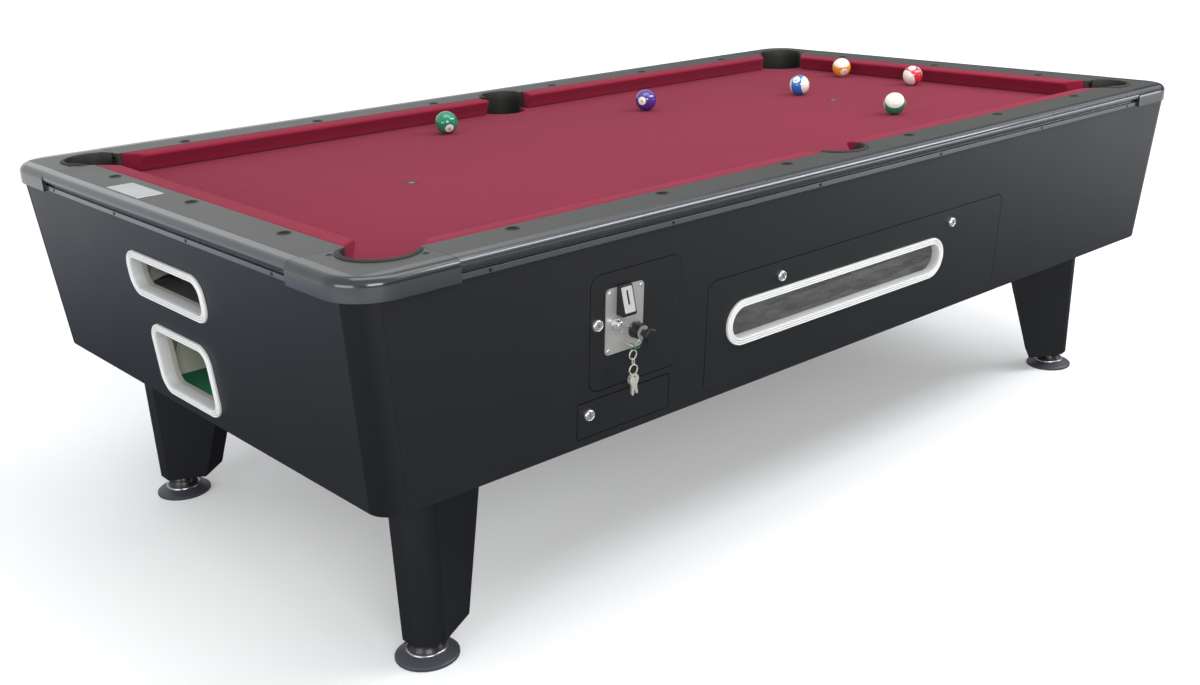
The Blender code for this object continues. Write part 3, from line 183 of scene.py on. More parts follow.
# Lights: size, place, aim and colour; their powers are on the panel
LIGHTS = {
    "key": ((3.6, 2.2), (-0.3, -0.4, 4.2), (0.0, 0.0, 0.8), (1.0, 0.99, 0.97)),
    "strip": ((4.2, 1.1), (2.7, -2.3, 3.2), (2.7, -0.7, 0.8), (0.96, 0.98, 1.0)),
    "fill": ((2.4, 1.6), (-2.6, -4.6, 2.4), (-0.2, -0.6, 0.6), (1.0, 1.0, 1.0)),
    "side": ((2.4, 1.2), (-4.4, -0.8, 1.25), (-1.2, 0.0, 0.6), (0.92, 0.96, 1.0)),
    "low": ((1.8, 0.7), (3.4, -2.7, 0.8), (0.5, -0.6, 0.3), (0.97, 0.98, 1.0)),
}

# The camera of the photograph
EYE = (-2.2301, -2.3987, 1.3567)
HEADING = 0.8258
PITCH = -0.3339
ROLL = 0.0273
LENS_MM = 39.912
SENSOR_MM = 36.0
SHIFT_X = -0.04167
CLIP_END = 200.0

FRONT = Matrix.Translation((0, -LOW_Y, CABINET_BOTTOM)) @ Matrix.Rotation(LEAN, 4, "X")
LEFT = Matrix.Translation((-LOW_X, 0, CABINET_BOTTOM)) @ Matrix.Rotation(-LEAN, 4, "Y")
OUT_OF_FRONT = Matrix.Rotation(math.radians(90), 4, "X")
OUT_OF_LEFT = Matrix(((0, 0, -1, 0), (-1, 0, 0, 0), (0, 1, 0, 0), (0, 0, 0, 1)))


def on_front(x, height, proud=0.0):
    """A drawing frame on the sloping front, z outward."""
    return FRONT @ Matrix.Translation((x, -proud, height)) @ OUT_OF_FRONT


def on_left(y, height, proud=0.0):
    """A drawing frame on the sloping left end, z outward."""
    return LEFT @ Matrix.Translation((-proud, y, height)) @ OUT_OF_LEFT


# Shader maths


class Socket:
    """A node socket that takes part in arithmetic; each step makes a node."""

    def __init__(self, tree, socket):
        self.tree = tree
        self.socket = socket

    def node(self, kind, settings, inputs, output=0):
        """A node of this kind: settings first, then inputs, which are sockets or values."""
        made = self.tree.nodes.new(kind)
        for key, value in settings.items():
            setattr(made, key, value)
        for key, value in inputs.items():
            if isinstance(value, Socket):
                self.tree.links.new(value.socket, made.inputs[key])
            else:
                made.inputs[key].default_value = value
        return Socket(self.tree, made.outputs[output])

    def math(self, operation, first, second=0.0):
        return self.node("ShaderNodeMath", {"operation": operation}, {0: first, 1: second})

    def __add__(self, other):
        return self.math("ADD", self, other)

    __radd__ = __add__

    def __mul__(self, other):
        return self.math("MULTIPLY", self, other)

    __rmul__ = __mul__

    def __sub__(self, other):
        return self.math("SUBTRACT", self, other)

    def __rsub__(self, other):
        return self.math("SUBTRACT", other, self)

    def __neg__(self):
        return self.math("MULTIPLY", self, -1.0)

    def __abs__(self):
        return self.math("ABSOLUTE", self)

    def above(self, low, high):
        """0 below low, 1 above high, smooth between."""
        settings = {"interpolation_type": "SMOOTHSTEP"}
        return self.node("ShaderNodeMapRange", settings, {0: self, 1: low, 2: high})

    def mix(self, first, second):
        """A colour between two, by this factor."""
        settings = {"data_type": "RGBA"}
        return self.node("ShaderNodeMix", settings, {0: self, 6: first, 7: second}, 2)

    def scaled(self, by):
        return self.node("ShaderNodeVectorMath", {"operation": "MULTIPLY"}, {0: self, 1: by})

    def dot(self, other):
        settings = {"operation": "DOT_PRODUCT"}
        return self.node("ShaderNodeVectorMath", settings, {0: self, 1: other}, 1)

    def unit(self):
        return self.node("ShaderNodeVectorMath", {"operation": "NORMALIZE"}, {0: self})

    def part(self, axis):
        return self.node("ShaderNodeSeparateXYZ", {}, {0: self}, axis)

    def noise(self, scale, detail=3.0, roughness=0.55):
        inputs = {"Vector": self, "Scale": scale, "Detail": detail, "Roughness": roughness}
        return self.node("ShaderNodeTexNoise", {}, inputs)

    def bump(self, strength, distance):
        inputs = {"Height": self, "Strength": strength, "Distance": distance}
        return self.node("ShaderNodeBump", {}, inputs)

    def into(self, shader, name):
        self.tree.links.new(self.socket, shader.inputs[name])


def output(tree, kind, name):
    """An output of a new node of this kind."""
    return Socket(tree, tree.nodes.new(kind).outputs[name])


def tone(colour, by=1.0):
    """A colour made lighter or darker, as four numbers."""
    return (*(channel * by for channel in colour[:3]), 1.0)


def spread(factor, colour, by):
    """The colour, darker to lighter by this share either way."""
    return factor.mix(tone(colour, 1 - by), tone(colour, 1 + by))


def new_material(name, **constants):
    """(material, shader, object place), with these constants set on the shader."""
    made = bpy.data.materials.new(name)
    made.use_nodes = True
    tree = made.node_tree
    shader = tree.nodes["Principled BSDF"]
    for key, value in constants.items():
        shader.inputs[key.replace("_", " ")].default_value = value
    return made, shader, output(tree, "ShaderNodeTexCoord", "Object")


def surface(name, colour, rough, grain, bump, depth, mottle, streak, constants):
    """A rigid finish: mottled colour, uneven gloss and a grain that may run one way."""
    made, shader, place = new_material(name, **constants)
    broad = place.noise(5.0, 6.0, 0.6)
    fine = place.scaled(streak).noise(grain, 3.0)
    worn = place.noise(38.0, 8.0, 0.7).above(0.55, 0.78)
    spread(broad * 0.55 + fine * 0.45, colour, mottle).into(shader, "Base Color")
    (rough - 0.09 + broad * 0.1 + fine * 0.1 + worn * 0.06).into(shader, "Roughness")
    fine.bump(bump, depth).into(shader, "Normal")
    return made


def opened(look):
    """(shader, object place, what feeds each varying input) of a finish, to add to it."""
    tree = look.node_tree
    shader = tree.nodes["Principled BSDF"]
    links = [link for link in tree.links if link.to_node == shader]
    fed = {link.to_socket.name: Socket(tree, link.from_socket) for link in links}
    return shader, output(tree, "ShaderNodeTexCoord", "Object"), fed


def cloth(name, colour):
    """Napped wool: crossing threads under loose fibres, with a soft sheen."""
    sheen = {"Sheen_Weight": 0.06, "Sheen_Roughness": 0.5, "Sheen_Tint": (1.0, 0.72, 0.78, 1.0)}
    made, shader, place = new_material(name, Specular_IOR_Level=0.15, **sheen)
    threads = 3900.0
    along, across = (abs(place.math("SINE", place.part(axis) * threads)) for axis in (0, 1))
    fibres = place.scaled((1.0, 0.35, 1.0)).noise(2200.0, 4.0, 0.7)
    brushed = place.scaled((0.6, 1.6, 1.0)).noise(9.0, 6.0, 0.65)
    fade = place.noise(1.6, 3.0)
    spread(fibres * 0.4 + brushed * 0.35 + fade * 0.25, colour, 0.26).into(shader, "Base Color")
    (0.86 + fibres * 0.12).into(shader, "Roughness")
    (fibres * 0.6 + along * 0.2 + across * 0.2).bump(0.35, 0.0003).into(shader, "Normal")
    return made


# Shapes


def bridge(form, first, second, closed=True):
    """Faces between two rows of corners; a row of one is a point."""
    count = max(len(first), len(second))
    for step in range(count if closed else count - 1):
        after = (step + 1) % count
        corners = [first[step % len(first)], first[after % len(first)]]
        corners += [second[after % len(second)], second[step % len(second)]]
        corners = list(dict.fromkeys(corners))
        if len(corners) > 2:
            form.faces.new(corners)


def skin(form, rows, joined=False, capped=False):
    """Faces from each row of corners to the next, joined to the first or capped at both ends."""
    for first, second in zip(rows, rows[1:] + (rows[:1] if joined else [])):
        bridge(form, first, second)
    if capped:
        form.faces.new(rows[0])
        form.faces.new(list(reversed(rows[-1])))


def around(count):
    """The angles of so many even steps of a turn."""
    return [2 * math.pi * step / count for step in range(count)]


def polar(radius, angle, height):
    return Vector((radius * math.cos(angle), radius * math.sin(angle), height))


def row(form, outline, height, place):
    """Corners along a flat outline at this height."""
    return [form.verts.new(place @ Vector((x, y, height))) for x, y in outline]


def ring(form, radius, height, place, steps):
    """Corners round the axis of the place."""
    return [form.verts.new(place @ polar(radius, angle, height)) for angle in around(steps)]


def lathe(form, profile, place, steps=28, closed=False):
    """A profile of radius and height turned round the axis of the place."""
    rings = []
    for radius, height in profile:
        rings.append(ring(form, radius, height, place, steps if radius > 1e-7 else 1))
    skin(form, rings, closed)


def arc(centre, radius, start, end, steps):
    """Points along an arc between two angles in degrees."""
    angles = [math.radians(start + (end - start) * n / steps) for n in range(steps + 1)]
    return [(centre[0] + radius * math.cos(a), centre[1] + radius * math.sin(a)) for a in angles]


def rounded(size_x, size_y, radius, inset=0.0, steps=10):
    """Outline of a rectangle with round corners about the middle."""
    half_x, half_y = size_x / 2 - inset, size_y / 2 - inset
    turn = max(min(radius - inset, half_x - 1e-5, half_y - 1e-5), 1e-4)
    outline = []
    for side_x, side_y, start in ((1, 1, 0), (-1, 1, 90), (-1, -1, 180), (1, -1, 270)):
        centre = (side_x * (half_x - turn), side_y * (half_y - turn))
        outline += arc(centre, turn, start, start + 90, steps)
    return outline


def ring_run(form, size, radius, section, place, steps=10):
    """Rows of a section of inset and height, run round a rounded rectangle."""
    return [row(form, rounded(*size, radius, inset, steps), high, place) for inset, high in section]


def fill(form, loops):
    """Triangles between these closed loops of corners, in one plane."""
    edges = []
    for loop in loops:
        for pair in zip(loop, loop[1:] + loop[:1]):
            edges.append(form.edges.get(pair) or form.edges.new(pair))
    bmesh.ops.triangle_fill(form, use_beauty=True, use_dissolve=False, edges=edges)


def slab(form, outlines, low, high, place):
    """A flat piece between two heights, the outlines after the first being holes."""
    sheets = []
    for height in (low, high):
        sheets.append([row(form, outline, height, place) for outline in outlines])
        fill(form, sheets[-1])
    for first, second in zip(*sheets):
        bridge(form, first, second)


def wire(form, points, radius, closed=False, sides=10):
    """A round wire along these points."""
    points = [Vector(point) for point in points]
    count = len(points)
    rings = []
    normal = None
    for step, point in enumerate(points):
        before = points[step - 1] if closed or step else point
        after = points[(step + 1) % count] if closed or step < count - 1 else point
        along = (after - before).normalized()
        if normal is None:
            normal = along.orthogonal().normalized()
        normal = (normal - along * normal.dot(along)).normalized()
        side = along.cross(normal)
        offsets = [normal * math.cos(angle) + side * math.sin(angle) for angle in around(sides)]
        rings.append([form.verts.new(point + offset * radius) for offset in offsets])
    skin(form, rings, closed, not closed)


def screw(form, place, radius, dome, slots=4, steps=24):
    """A domed screw head with a cross recess, seated a little into what carries it."""
    across = radius * 0.17
    reach = radius * 0.52
    cross = []
    for angle in around(slots):
        spin = Matrix.Rotation(angle, 2)
        for x, y in ((reach, -across), (reach, across), (across, across)):
            cross.append(spin @ Vector((x, y)))
    profile = ((1.0, -0.0003), (1.0, dome * 0.25), (0.88, dome * 0.7), (0.66, dome))
    rows = [ring(form, radius * share, height, place, steps) for share, height in profile]
    skin(form, rows)
    top = row(form, cross, dome, place)
    deep = row(form, [point * 0.8 for point in cross], dome * 0.1, place)
    fill(form, (rows[-1], top))
    bridge(form, top, deep)
    form.faces.new(deep)


def piece(name, form, look, body="table", sharp=35.0, outward=True):
    """An object of this form that rides on a body."""
    if outward:
        bmesh.ops.recalc_face_normals(form, faces=form.faces)
    mesh = bpy.data.meshes.new(name)
    form.to_mesh(mesh)
    form.free()
    mesh.materials.append(look)
    mesh.polygons.foreach_set("use_smooth", [True] * len(mesh.polygons))
    mesh.set_sharp_from_angle(angle=math.radians(sharp))
    made = bpy.data.objects.new(name, mesh)
    bpy.context.scene.collection.objects.link(made)
    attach(made, body)
    return made


def turned(name, profile, place, steps, look, body, sharp=35.0):
    """A piece of one closed profile turned round the axis of the place."""
    form = bmesh.new()
    lathe(form, profile, place, steps, closed=True)
    return piece(name, form, look, body, sharp)


def shading_group():
    """A node group that shades smooth across shallow edges only."""
    made = bpy.data.node_groups.get("smooth_by_angle")
    if made:
        return made
    made = bpy.data.node_groups.new("smooth_by_angle", "GeometryNodeTree")
    for side in ("INPUT", "OUTPUT"):
        made.interface.new_socket("Geometry", in_out=side, socket_type="NodeSocketGeometry")
    source = made.nodes.new("NodeGroupInput")
    target = made.nodes.new("NodeGroupOutput")
    angle = made.nodes.new("GeometryNodeInputMeshEdgeAngle")
    steep = made.nodes.new("FunctionNodeCompare")
    steep.data_type = "FLOAT"
    steep.operation = "GREATER_THAN"
    steep.inputs[1].default_value = math.radians(38)
    normals = made.nodes.new("GeometryNodeSetMeshNormal")
    normals.mode = "SHARPNESS"
    made.links.new(angle.outputs["Unsigned Angle"], steep.inputs[0])
    made.links.new(source.outputs[0], normals.inputs["Mesh"])
    made.links.new(steep.outputs[0], normals.inputs["Edge Sharpness"])
    made.links.new(normals.outputs[0], target.inputs[0])
    return made


def dress(names, look, edge):
    """Gives CAD nodes their finish, edges eased by this width and smooth shading."""
    for name in names:
        node = NODES[name]
        for holder in node.material_slots:
            holder.material = look
        weld = node.modifiers.new("weld", "WELD")
        weld.merge_threshold = 1e-5
        flat = node.modifiers.new("flat", "DECIMATE")
        flat.decimate_type = "DISSOLVE"
        flat.angle_limit = math.radians(0.4)
        ease = node.modifiers.new("ease", "BEVEL")
        ease.width = edge
        ease.segments = 2
        ease.limit_method = "ANGLE"
        ease.angle_limit = math.radians(40)
        smooth = node.modifiers.new("smooth", "NODES")
        smooth.node_group = shading_group()
        level = node.modifiers.new("level", "WEIGHTED_NORMAL")
        level.keep_sharp = True
        level.weight = 100


def named(start):
    return [name for name in NODES if name.startswith(start)]


# What a user would change


def tint(label, default):
    why = label + " before mottling"
    return FloatVectorProperty(
        name=label, description=why, subtype="COLOR", size=3, min=0, max=1, default=default
    )


def amount(label, default, why, unit="NONE"):
    return FloatProperty(name=label, description=why, unit=unit, min=0.0, default=default)


def length(label, default, why):
    return amount(label, default, why, "LENGTH")


def power(label, default, why):
    return amount(label, default, "Power of the " + why, "POWER")


class PoolColours(bpy.types.PropertyGroup):
    """Colours of the finishes"""

    laminate: tint("Cabinet laminate", (0.0105, 0.0108, 0.0118))
    rail: tint("Rail laminate", (0.039, 0.039, 0.036))
    trim: tint("Edge trim", (0.064, 0.067, 0.074))
    cap: tint("Corner cap", (0.037, 0.039, 0.042))
    cloth: tint("Bed cloth", (0.188, 0.0095, 0.032))
    # the cushion cloth is the bed's cloth set a little lighter: the real cloth colour with painted
    # light on the cushion tops
    cushion: tint("Cushion cloth", (0.215, 0.0105, 0.033))
    liner: tint("Pocket liner", (0.0085, 0.0088, 0.0052))
    window: tint("Window frame", (0.75, 0.75, 0.74))
    board: tint("Ball box board", (0.90, 0.86, 0.75))
    felt: tint("Ball box felt", (0.05, 0.29, 0.14))


class PoolSizes(bpy.types.PropertyGroup):
    """Sizes of the dressing"""

    ball: length("Ball", 0.0572, "Diameter of a ball")
    sight: length("Sight", 0.0130, "Radius of a rail sight")
    rim: length("Liner rim", 0.0104, "Width of the raised rim of a pocket liner")
    rim_proud: length("Rim height", 0.0030, "How far a liner's rim stands above the rail")
    hem: length("Cloth hem", 0.016, "How far the cloth turns down into a pocket")
    edge: length("Eased edge", 0.0008, "Width of the easing on the edges of the cabinet")


class PoolStage(bpy.types.PropertyGroup):
    """Light and floor"""

    floor: tint("Floor", (0.80, 0.80, 0.80))
    key: power("Key light", 67.0, "overhead light")
    fill: power("Fill light", 100.0, "light by the camera")
    strip: power("Strip light", 120.0, "long light above the front")
    side: power("Side light", 38.0, "light at the left end")
    low: power("Low light", 16.0, "low light on the right")
    sky: amount("Sky", 0.60, "Strength of the light all round")
    lift: amount("Floor lift", 0.20, "White added to the floor near the table")
    far_lift: amount("Far lift", 0.62, "White added to the floor further off")


class PoolStep(bpy.types.Operator):
    """A step of the dressing"""

    bl_idname = "pool.step"
    bl_label = "Step"

    @property
    def colours(self):
        return bpy.context.scene.pool_colours

    @property
    def sizes(self):
        return bpy.context.scene.pool_sizes

    def finish(self, kind, name=None):
        """A finish from the table, under its own name or another."""
        colour, *rest = FINISHES[kind]
        if isinstance(colour, str):
            colour = getattr(self.colours, colour)
        return surface(name or kind, colour, *rest)


class PoolCabinet(PoolStep):
    """Finishes the cabinet, its doors and legs, and lines the ball box"""

    bl_idname = "pool.cabinet"
    bl_label = "Cabinet"

    def execute(self, context):
        black = self.finish("black_laminate")
        names = ["front_panel", "back_panel", "coin_door", "cash_drawer", "window_leaf"]
        dress(names + named("leg_"), black, self.sizes.edge)
        dress(["left_end_panel", "right_end_panel"], self.scored(black), self.sizes.edge)
        # the cabinet floor carries painted shade under the pockets
        dress(["cabinet_floor"], self.board(), edge=0.0005)
        dress(named("slate_"), self.finish("slate"), edge=0.0004)
        dress(["ball_trough"], self.finish("grey_sheet"), edge=0.0004)
        self.line_box()
        return {"FINISHED"}

    def scored(self, laminate):
        """The laminate with a groove where an end meets its rounded posts, and matt beside it."""
        made = laminate.copy()
        made.name = "black_laminate_ends"
        tree = made.node_tree
        shader, place, fed = opened(made)
        leaned = (place.part(2) - CABINET_BOTTOM) * math.tan(LEAN)
        from_end = abs(place.part(1)) - (leaned + (LOW_Y - POST_ROUND))
        from_front = abs(place.part(0)) - (leaned + (LOW_X - POST_ROUND))
        groove = 1 - abs(from_end).above(0.0010, 0.0034)
        inputs = {"Height": groove, "Strength": 1.0, "Distance": 0.006, "Normal": fed["Normal"]}
        groove.node("ShaderNodeBump", {"invert": True}, inputs).into(shader, "Normal")
        (fed["Roughness"] + groove * 0.5).into(shader, "Roughness")
        matt = {"Roughness": 0.5, "Specular IOR Level": 0.16}
        matt["Base Color"] = tone(self.colours.laminate, 0.75)
        post = from_end.above(-0.0005, 0.0005) * from_front.above(0.002, 0.034)
        post_shader = post.node("ShaderNodeBsdfPrincipled", {}, matt)
        finishes = {0: post, 1: Socket(tree, shader.outputs[0]), 2: post_shader}
        mixed = post.node("ShaderNodeMixShader", {}, finishes)
        mixed.into(tree.nodes["Material Output"], "Surface")
        return made

    def board(self):
        """Pale board in the ball box, and outside it, under the pockets, the floor painted nearly
        black as painted shade.
        """
        made = self.finish("beige_board")
        shader, place, fed = opened(made)
        half, back = BOX_HALF + BOX_WALL, BOX_BACK + BOX_WALL
        aside = abs(place.part(1)).above(half, half + 0.001)
        behind = place.part(0).above(back, back + 0.001)
        # painted shade: outside the ball box the floor is coloured nearly black, so that the
        # pockets look dark from above
        dark = place.noise(160.0).mix((0.006, 0.005, 0.004, 1), (0.013, 0.011, 0.009, 1))
        pale = (1 - aside) * (1 - behind)
        pale.mix(dark, fed["Base Color"]).into(shader, "Base Color")
        return made

    def line_box(self):
        """Felt in the lower compartment and a dark mat on the shelf."""
        back = BOX_BACK - 0.001
        for name, kind, front, low in (
            ("ball_box_felt", "green_felt", FELT_FRONT, FLOOR_TOP),
            ("ball_box_mat", "dark_mat", MAT_FRONT, SHELF_TOP),
        ):
            size = (back - front, 2 * BOX_HALF - 0.004)
            form = bmesh.new()
            place = Matrix.Translation(((front + back) / 2, 0, low + GAP))
            slab(form, [rounded(*size, 0.004, steps=3)], 0.0, 0.0016, place)
            made = piece(name, form, self.finish(kind))


class PoolRails(PoolStep):
    """Finishes rails, trims and caps, and sets sights, screws and the bare plate in them"""

    bl_idname = "pool.rails"
    bl_label = "Rails"

    def execute(self, context):
        dress(named("rail_"), self.finish("grey_rail_laminate"), edge=0.0006)
        for kind, sides in (("long", ("front", "back")), ("end", ("left", "right"))):
            trims = ["edge_trim_" + side for side in sides]
            dress(trims, self.finish("extrusion_" + kind), edge=0.0005)
        dress(named("corner_cap_"), self.cap(), edge=0.0006)
        self.sights()
        self.screws()
        self.plate()
        return {"FINISHED"}

    def cap(self):
        """The finish of a cap: like the rail inside the rail's edge, bright on the rounded edge."""
        made, shader, place = new_material("grey_cap_plastic", Coat_Roughness=0.09)
        blur = 0.0004
        outside = [abs(place.part(n)).above(RAIL_OUT[n] - blur, RAIL_OUT[n] + blur) for n in (0, 1)]
        inside = (1 - outside[0]) * (1 - outside[1])
        fine = place.noise(620.0, 3.0)
        blend = place.noise(5.0, 6.0, 0.6) * 0.55 + fine * 0.45
        edge = spread(blend, self.colours.cap, 0.08)
        flat = spread(blend, self.colours.rail, 0.2)
        inside.mix(edge, flat).into(shader, "Base Color")
        (0.14 + inside * 0.15 + blend * 0.12).into(shader, "Roughness")
        for name in ("Metallic", "Coat Weight"):
            (0.50 - inside * 0.50).into(shader, name)
        fine.bump(0.05, 0.0002).into(shader, "Normal")
        return made

    def sights(self):
        """Shallow round cups along the rails; the near-black middle of each is painted shade
        standing for its hollow, over dark plastic.
        """
        radius = self.sizes.sight
        rim = [
            (radius * 0.70, 0.0002),
            (radius * 0.80, 0.0010),
            (radius * 0.90, 0.0013),
            (radius * 0.98, 0.0009),
            (radius, -0.0002),
        ]
        cup = [(0, 0.0002), (radius * 0.5, 0.0003), (radius * 0.72, 0.0005)]
        ends = (-1, 1)
        spots = [(s * x, end * SIGHT_LINES[1]) for x in LONG_SIGHTS for s in ends for end in ends]
        spots += [(end * SIGHT_LINES[0], y) for y in END_SIGHTS for end in ends]
        # the middle disc is painted shade for the sight's hollow
        for kind, profile in (("sight_ring", rim), ("sight_cup", cup)):
            form = bmesh.new()
            for spot in spots:
                lathe(form, profile, Matrix.Translation((*spot, RAIL_TOP)))
            piece(kind + "s", form, self.finish(kind), outward=False)

    def screws(self):
        """Dark screws in the lips of the trims and beside the pockets."""
        form = bmesh.new()
        lip_x, lip_y = (edge + LIP_OUT for edge in RAIL_OUT)
        lips = [(x, end * lip_y, -end, "X") for x in LONG_SCREWS for end in (-1, 1)]
        lips += [(end * lip_x, y, end, "Y") for y in END_SCREWS for end in (-1, 1)]
        for x, y, way, axis in lips:
            turn = Matrix.Rotation(math.radians(90 * way), 4, axis)
            screw(form, Matrix.Translation((x, y, LIP_HEIGHT)) @ turn, radius=0.0034, dome=0.0010)
        for _, side_x, side_y in CORNERS:
            for x, y in CAP_SCREWS:
                spot = (side_x * (POCKET[0] + x), side_y * (POCKET[1] + y), RAIL_TOP)
                screw(form, Matrix.Translation(spot), radius=0.0058, dome=0.0010)
        piece("rail_screws", form, self.finish("blackened_screw"))

    def plate(self):
        """A bare plate on the rail at the left end, with a rolled border."""
        form = bmesh.new()
        place = Matrix.Translation((*RAIL_PLATE, RAIL_TOP))
        section = [(0, -0.0002), (0, 0.0007), (0.0008, 0.0012), (0.0022, 0.0012), (0.0030, 0.0008)]
        rows = ring_run(form, RAIL_PLATE_SIZE, 0.004, section, place, 4)
        skin(form, rows)
        form.faces.new(rows[-1])
        for y in (-0.068, 0.068):
            screw(form, place @ Matrix.Translation((0, y, 0.0008)), radius=0.0022, dome=0.0008)
        silver = self.finish("plate_silver")
        piece("rail_plate", form, silver, sharp=30)


class PoolCloth(PoolStep):
    """Stretches the cloth over the bed, turned down into the pockets, with its two spots"""

    bl_idname = "pool.cloth"
    bl_label = "Bed cloth"

    def execute(self, context):
        wool = cloth("crimson_cloth", self.colours.cloth)
        made = piece("stretched_cloth", self.form(), wool, outward=False)
        made.data.validate()
        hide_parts("bed_cloth")
        spots = self.spots()
        return {"FINISHED"}

    def lines(self, corner_reach, side_reach):
        """The six notch lines in plan, anticlockwise round the bed from the back right."""
        end, long_side = CLOTH_HALF
        corner = [(end, POCKET[1] - corner_reach)]
        corner += arc(POCKET, corner_reach, 270, 180, 14)
        corner += [(POCKET[0] - corner_reach, long_side)]
        side = [(side_reach, long_side)]
        side += arc((0, SIDE_POCKET_Y), side_reach, 360, 180, 22)
        side += [(-side_reach, long_side)]
        made = []
        for line, side_x, side_y in (
            (corner, 1, 1),
            (side, 1, 1),
            (corner, -1, 1),
            (corner, -1, -1),
            (side, 1, -1),
            (corner, 1, -1),
        ):
            mirrored = [(side_x * x, side_y * y) for x, y in line]
            made.append(mirrored if side_x == side_y else mirrored[::-1])
        return made

    def form(self):
        """The flat field, and at each pocket an edge that rolls over the slate and hangs down."""
        form = bmesh.new()
        roll = 0.003
        over = 0.0010
        rows = [(roll + 0.004, 0.0)]
        for step in range(5):
            angle = math.radians(90 * step / 4)
            rows.append((roll * (1 - math.sin(angle)), -roll * (1 - math.cos(angle))))
        rows.append((0.0, -self.sizes.hem))
        sets = []
        for away, drop in rows:
            lines = self.lines(POCKET_OUT - over + away, SIDE_OUT - over + away)
            sets.append([row(form, line, CLOTH_TOP + drop, Matrix()) for line in lines])
        form.faces.new([corner for line in sets[0] for corner in line])
        for first, second in zip(sets, sets[1:]):
            for upper, lower in zip(first, second):
                bridge(form, upper, lower, closed=False)
        bmesh.ops.triangulate(form, faces=[face for face in form.faces if len(face.verts) > 4])
        bmesh.ops.recalc_face_normals(form, faces=form.faces)
        top = max(form.faces, key=lambda face: face.calc_area())
        if top.normal.z < 0:
            bmesh.ops.reverse_faces(form, faces=form.faces)
        return form

    def spots(self):
        """Small stuck-on spots at the head and the foot."""
        rim = [
            (0.0070, 0.0003), (0.0076, 0.0008), (0.0125, 0.0008), (0.0140, 0.0005),
            (0.0145, -0.0001),
        ]
        middle = [(0, 0.0005), (0.0050, 0.0005), (0.0072, 0.0004)]
        made = []
        for kind, profile in (("spot_ring", rim), ("spot_middle", middle)):
            form = bmesh.new()
            for spot in BED_SPOTS:
                lathe(form, profile, Matrix.Translation((*spot, CLOTH_TOP)), steps=32)
            look = self.finish(kind)
            made.append(piece(kind + "s", form, look, outward=False))
        return made


class PoolCushions(PoolStep):
    """Six rubber cushions, each under its own tight cover with folded ends"""

    bl_idname = "pool.cushions"
    bl_label = "Cushions"

    # Outward from the nose, and down from the top of the rail
    SECTION = (
        (0.0455, -0.0060), (0.0453, -0.0024), (0.0446, -0.0009), (0.0428, -0.0002),
        (0.0390, 0.0), (0.0300, -0.0003), (0.0210, -0.0008), (0.0130, -0.0014),
        (0.0080, -0.0021), (0.0048, -0.0028), (0.0024, -0.0039), (0.0008, -0.0053),
        (0.0001, -0.0068), (0.0006, -0.0086), (0.0018, -0.0108), (0.0038, -0.0145),
        (0.0080, -0.0222), (0.0118, -0.0305), (0.0138, -0.0375), (0.0146, -0.0412),
        (0.0162, -0.0422), (0.0300, -0.0423), (0.0440, -0.0422), (0.0455, -0.0400),
    )
    # Where the section is drawn in to at a fold, half its size, and the reach of the fold
    MIDDLE = (0.026, -0.0200)
    HALF_WIDE = 0.024
    HALF_HIGH = 0.022
    FOLD = 0.0040

    def execute(self, context):
        # the cushion colour is the bed's cloth made lighter, as painted light on the cushion tops
        look = cloth("crimson_cushion", self.colours.cushion)
        long_end, short_end = NOSE[0] - CORNER_MOUTH, NOSE[1] - CORNER_MOUTH
        corner, side = CORNER_FACING, SIDE_FACING
        runs = {
            "front_left": (-90, NOSE[1], -long_end, corner, -SIDE_MOUTH, side),
            "front_right": (-90, NOSE[1], SIDE_MOUTH, side, long_end, corner),
            "back_right": (90, NOSE[1], -long_end, corner, -SIDE_MOUTH, side),
            "back_left": (90, NOSE[1], SIDE_MOUTH, side, long_end, corner),
            "left": (180, NOSE[0], -short_end, corner, short_end, corner),
            "right": (0, NOSE[0], -short_end, corner, short_end, corner),
        }
        for name, run in runs.items():
            form = self.form(*run)
            made = piece("cushion_cover_" + name, form, look, sharp=50)
            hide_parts("cushion_" + name)
        return {"FINISHED"}

    def form(self, turn, edge, start, start_facing, end, end_facing):
        """One section run from end to end, drawn in and rounded where the cover is folded."""
        form = bmesh.new()
        place = Matrix.Rotation(math.radians(turn), 4, "Z")
        place = place @ Matrix.Translation((edge, 0, RAIL_TOP))
        ends = []
        for step in range(6):
            angle = math.radians(90 * step / 5)
            ends.append((self.FOLD * (1 - math.cos(angle)), self.FOLD * (1 - math.sin(angle))))
        stations = [(0, run, inset) for run, inset in ends]
        stations += [(share, 0.0, 0.0) for share in (0.02, 0.25, 0.5, 0.75, 0.98)]
        stations += [(1, -run, inset) for run, inset in reversed(ends)]
        rows = []
        for share, run, inset in stations:
            corners = []
            for out, down in self.SECTION:
                x = self.MIDDLE[0] + (out - self.MIDDLE[0]) * (1 - inset / self.HALF_WIDE)
                z = self.MIDDLE[1] + (down - self.MIDDLE[1]) * (1 - inset / self.HALF_HIGH)
                low = start - math.tan(start_facing) * x
                high = end + math.tan(end_facing) * x
                point = Vector((x, low + (high - low) * share + run, z))
                corners.append(form.verts.new(place @ point))
            rows.append(corners)
        skin(form, rows, capped=True)
        return form


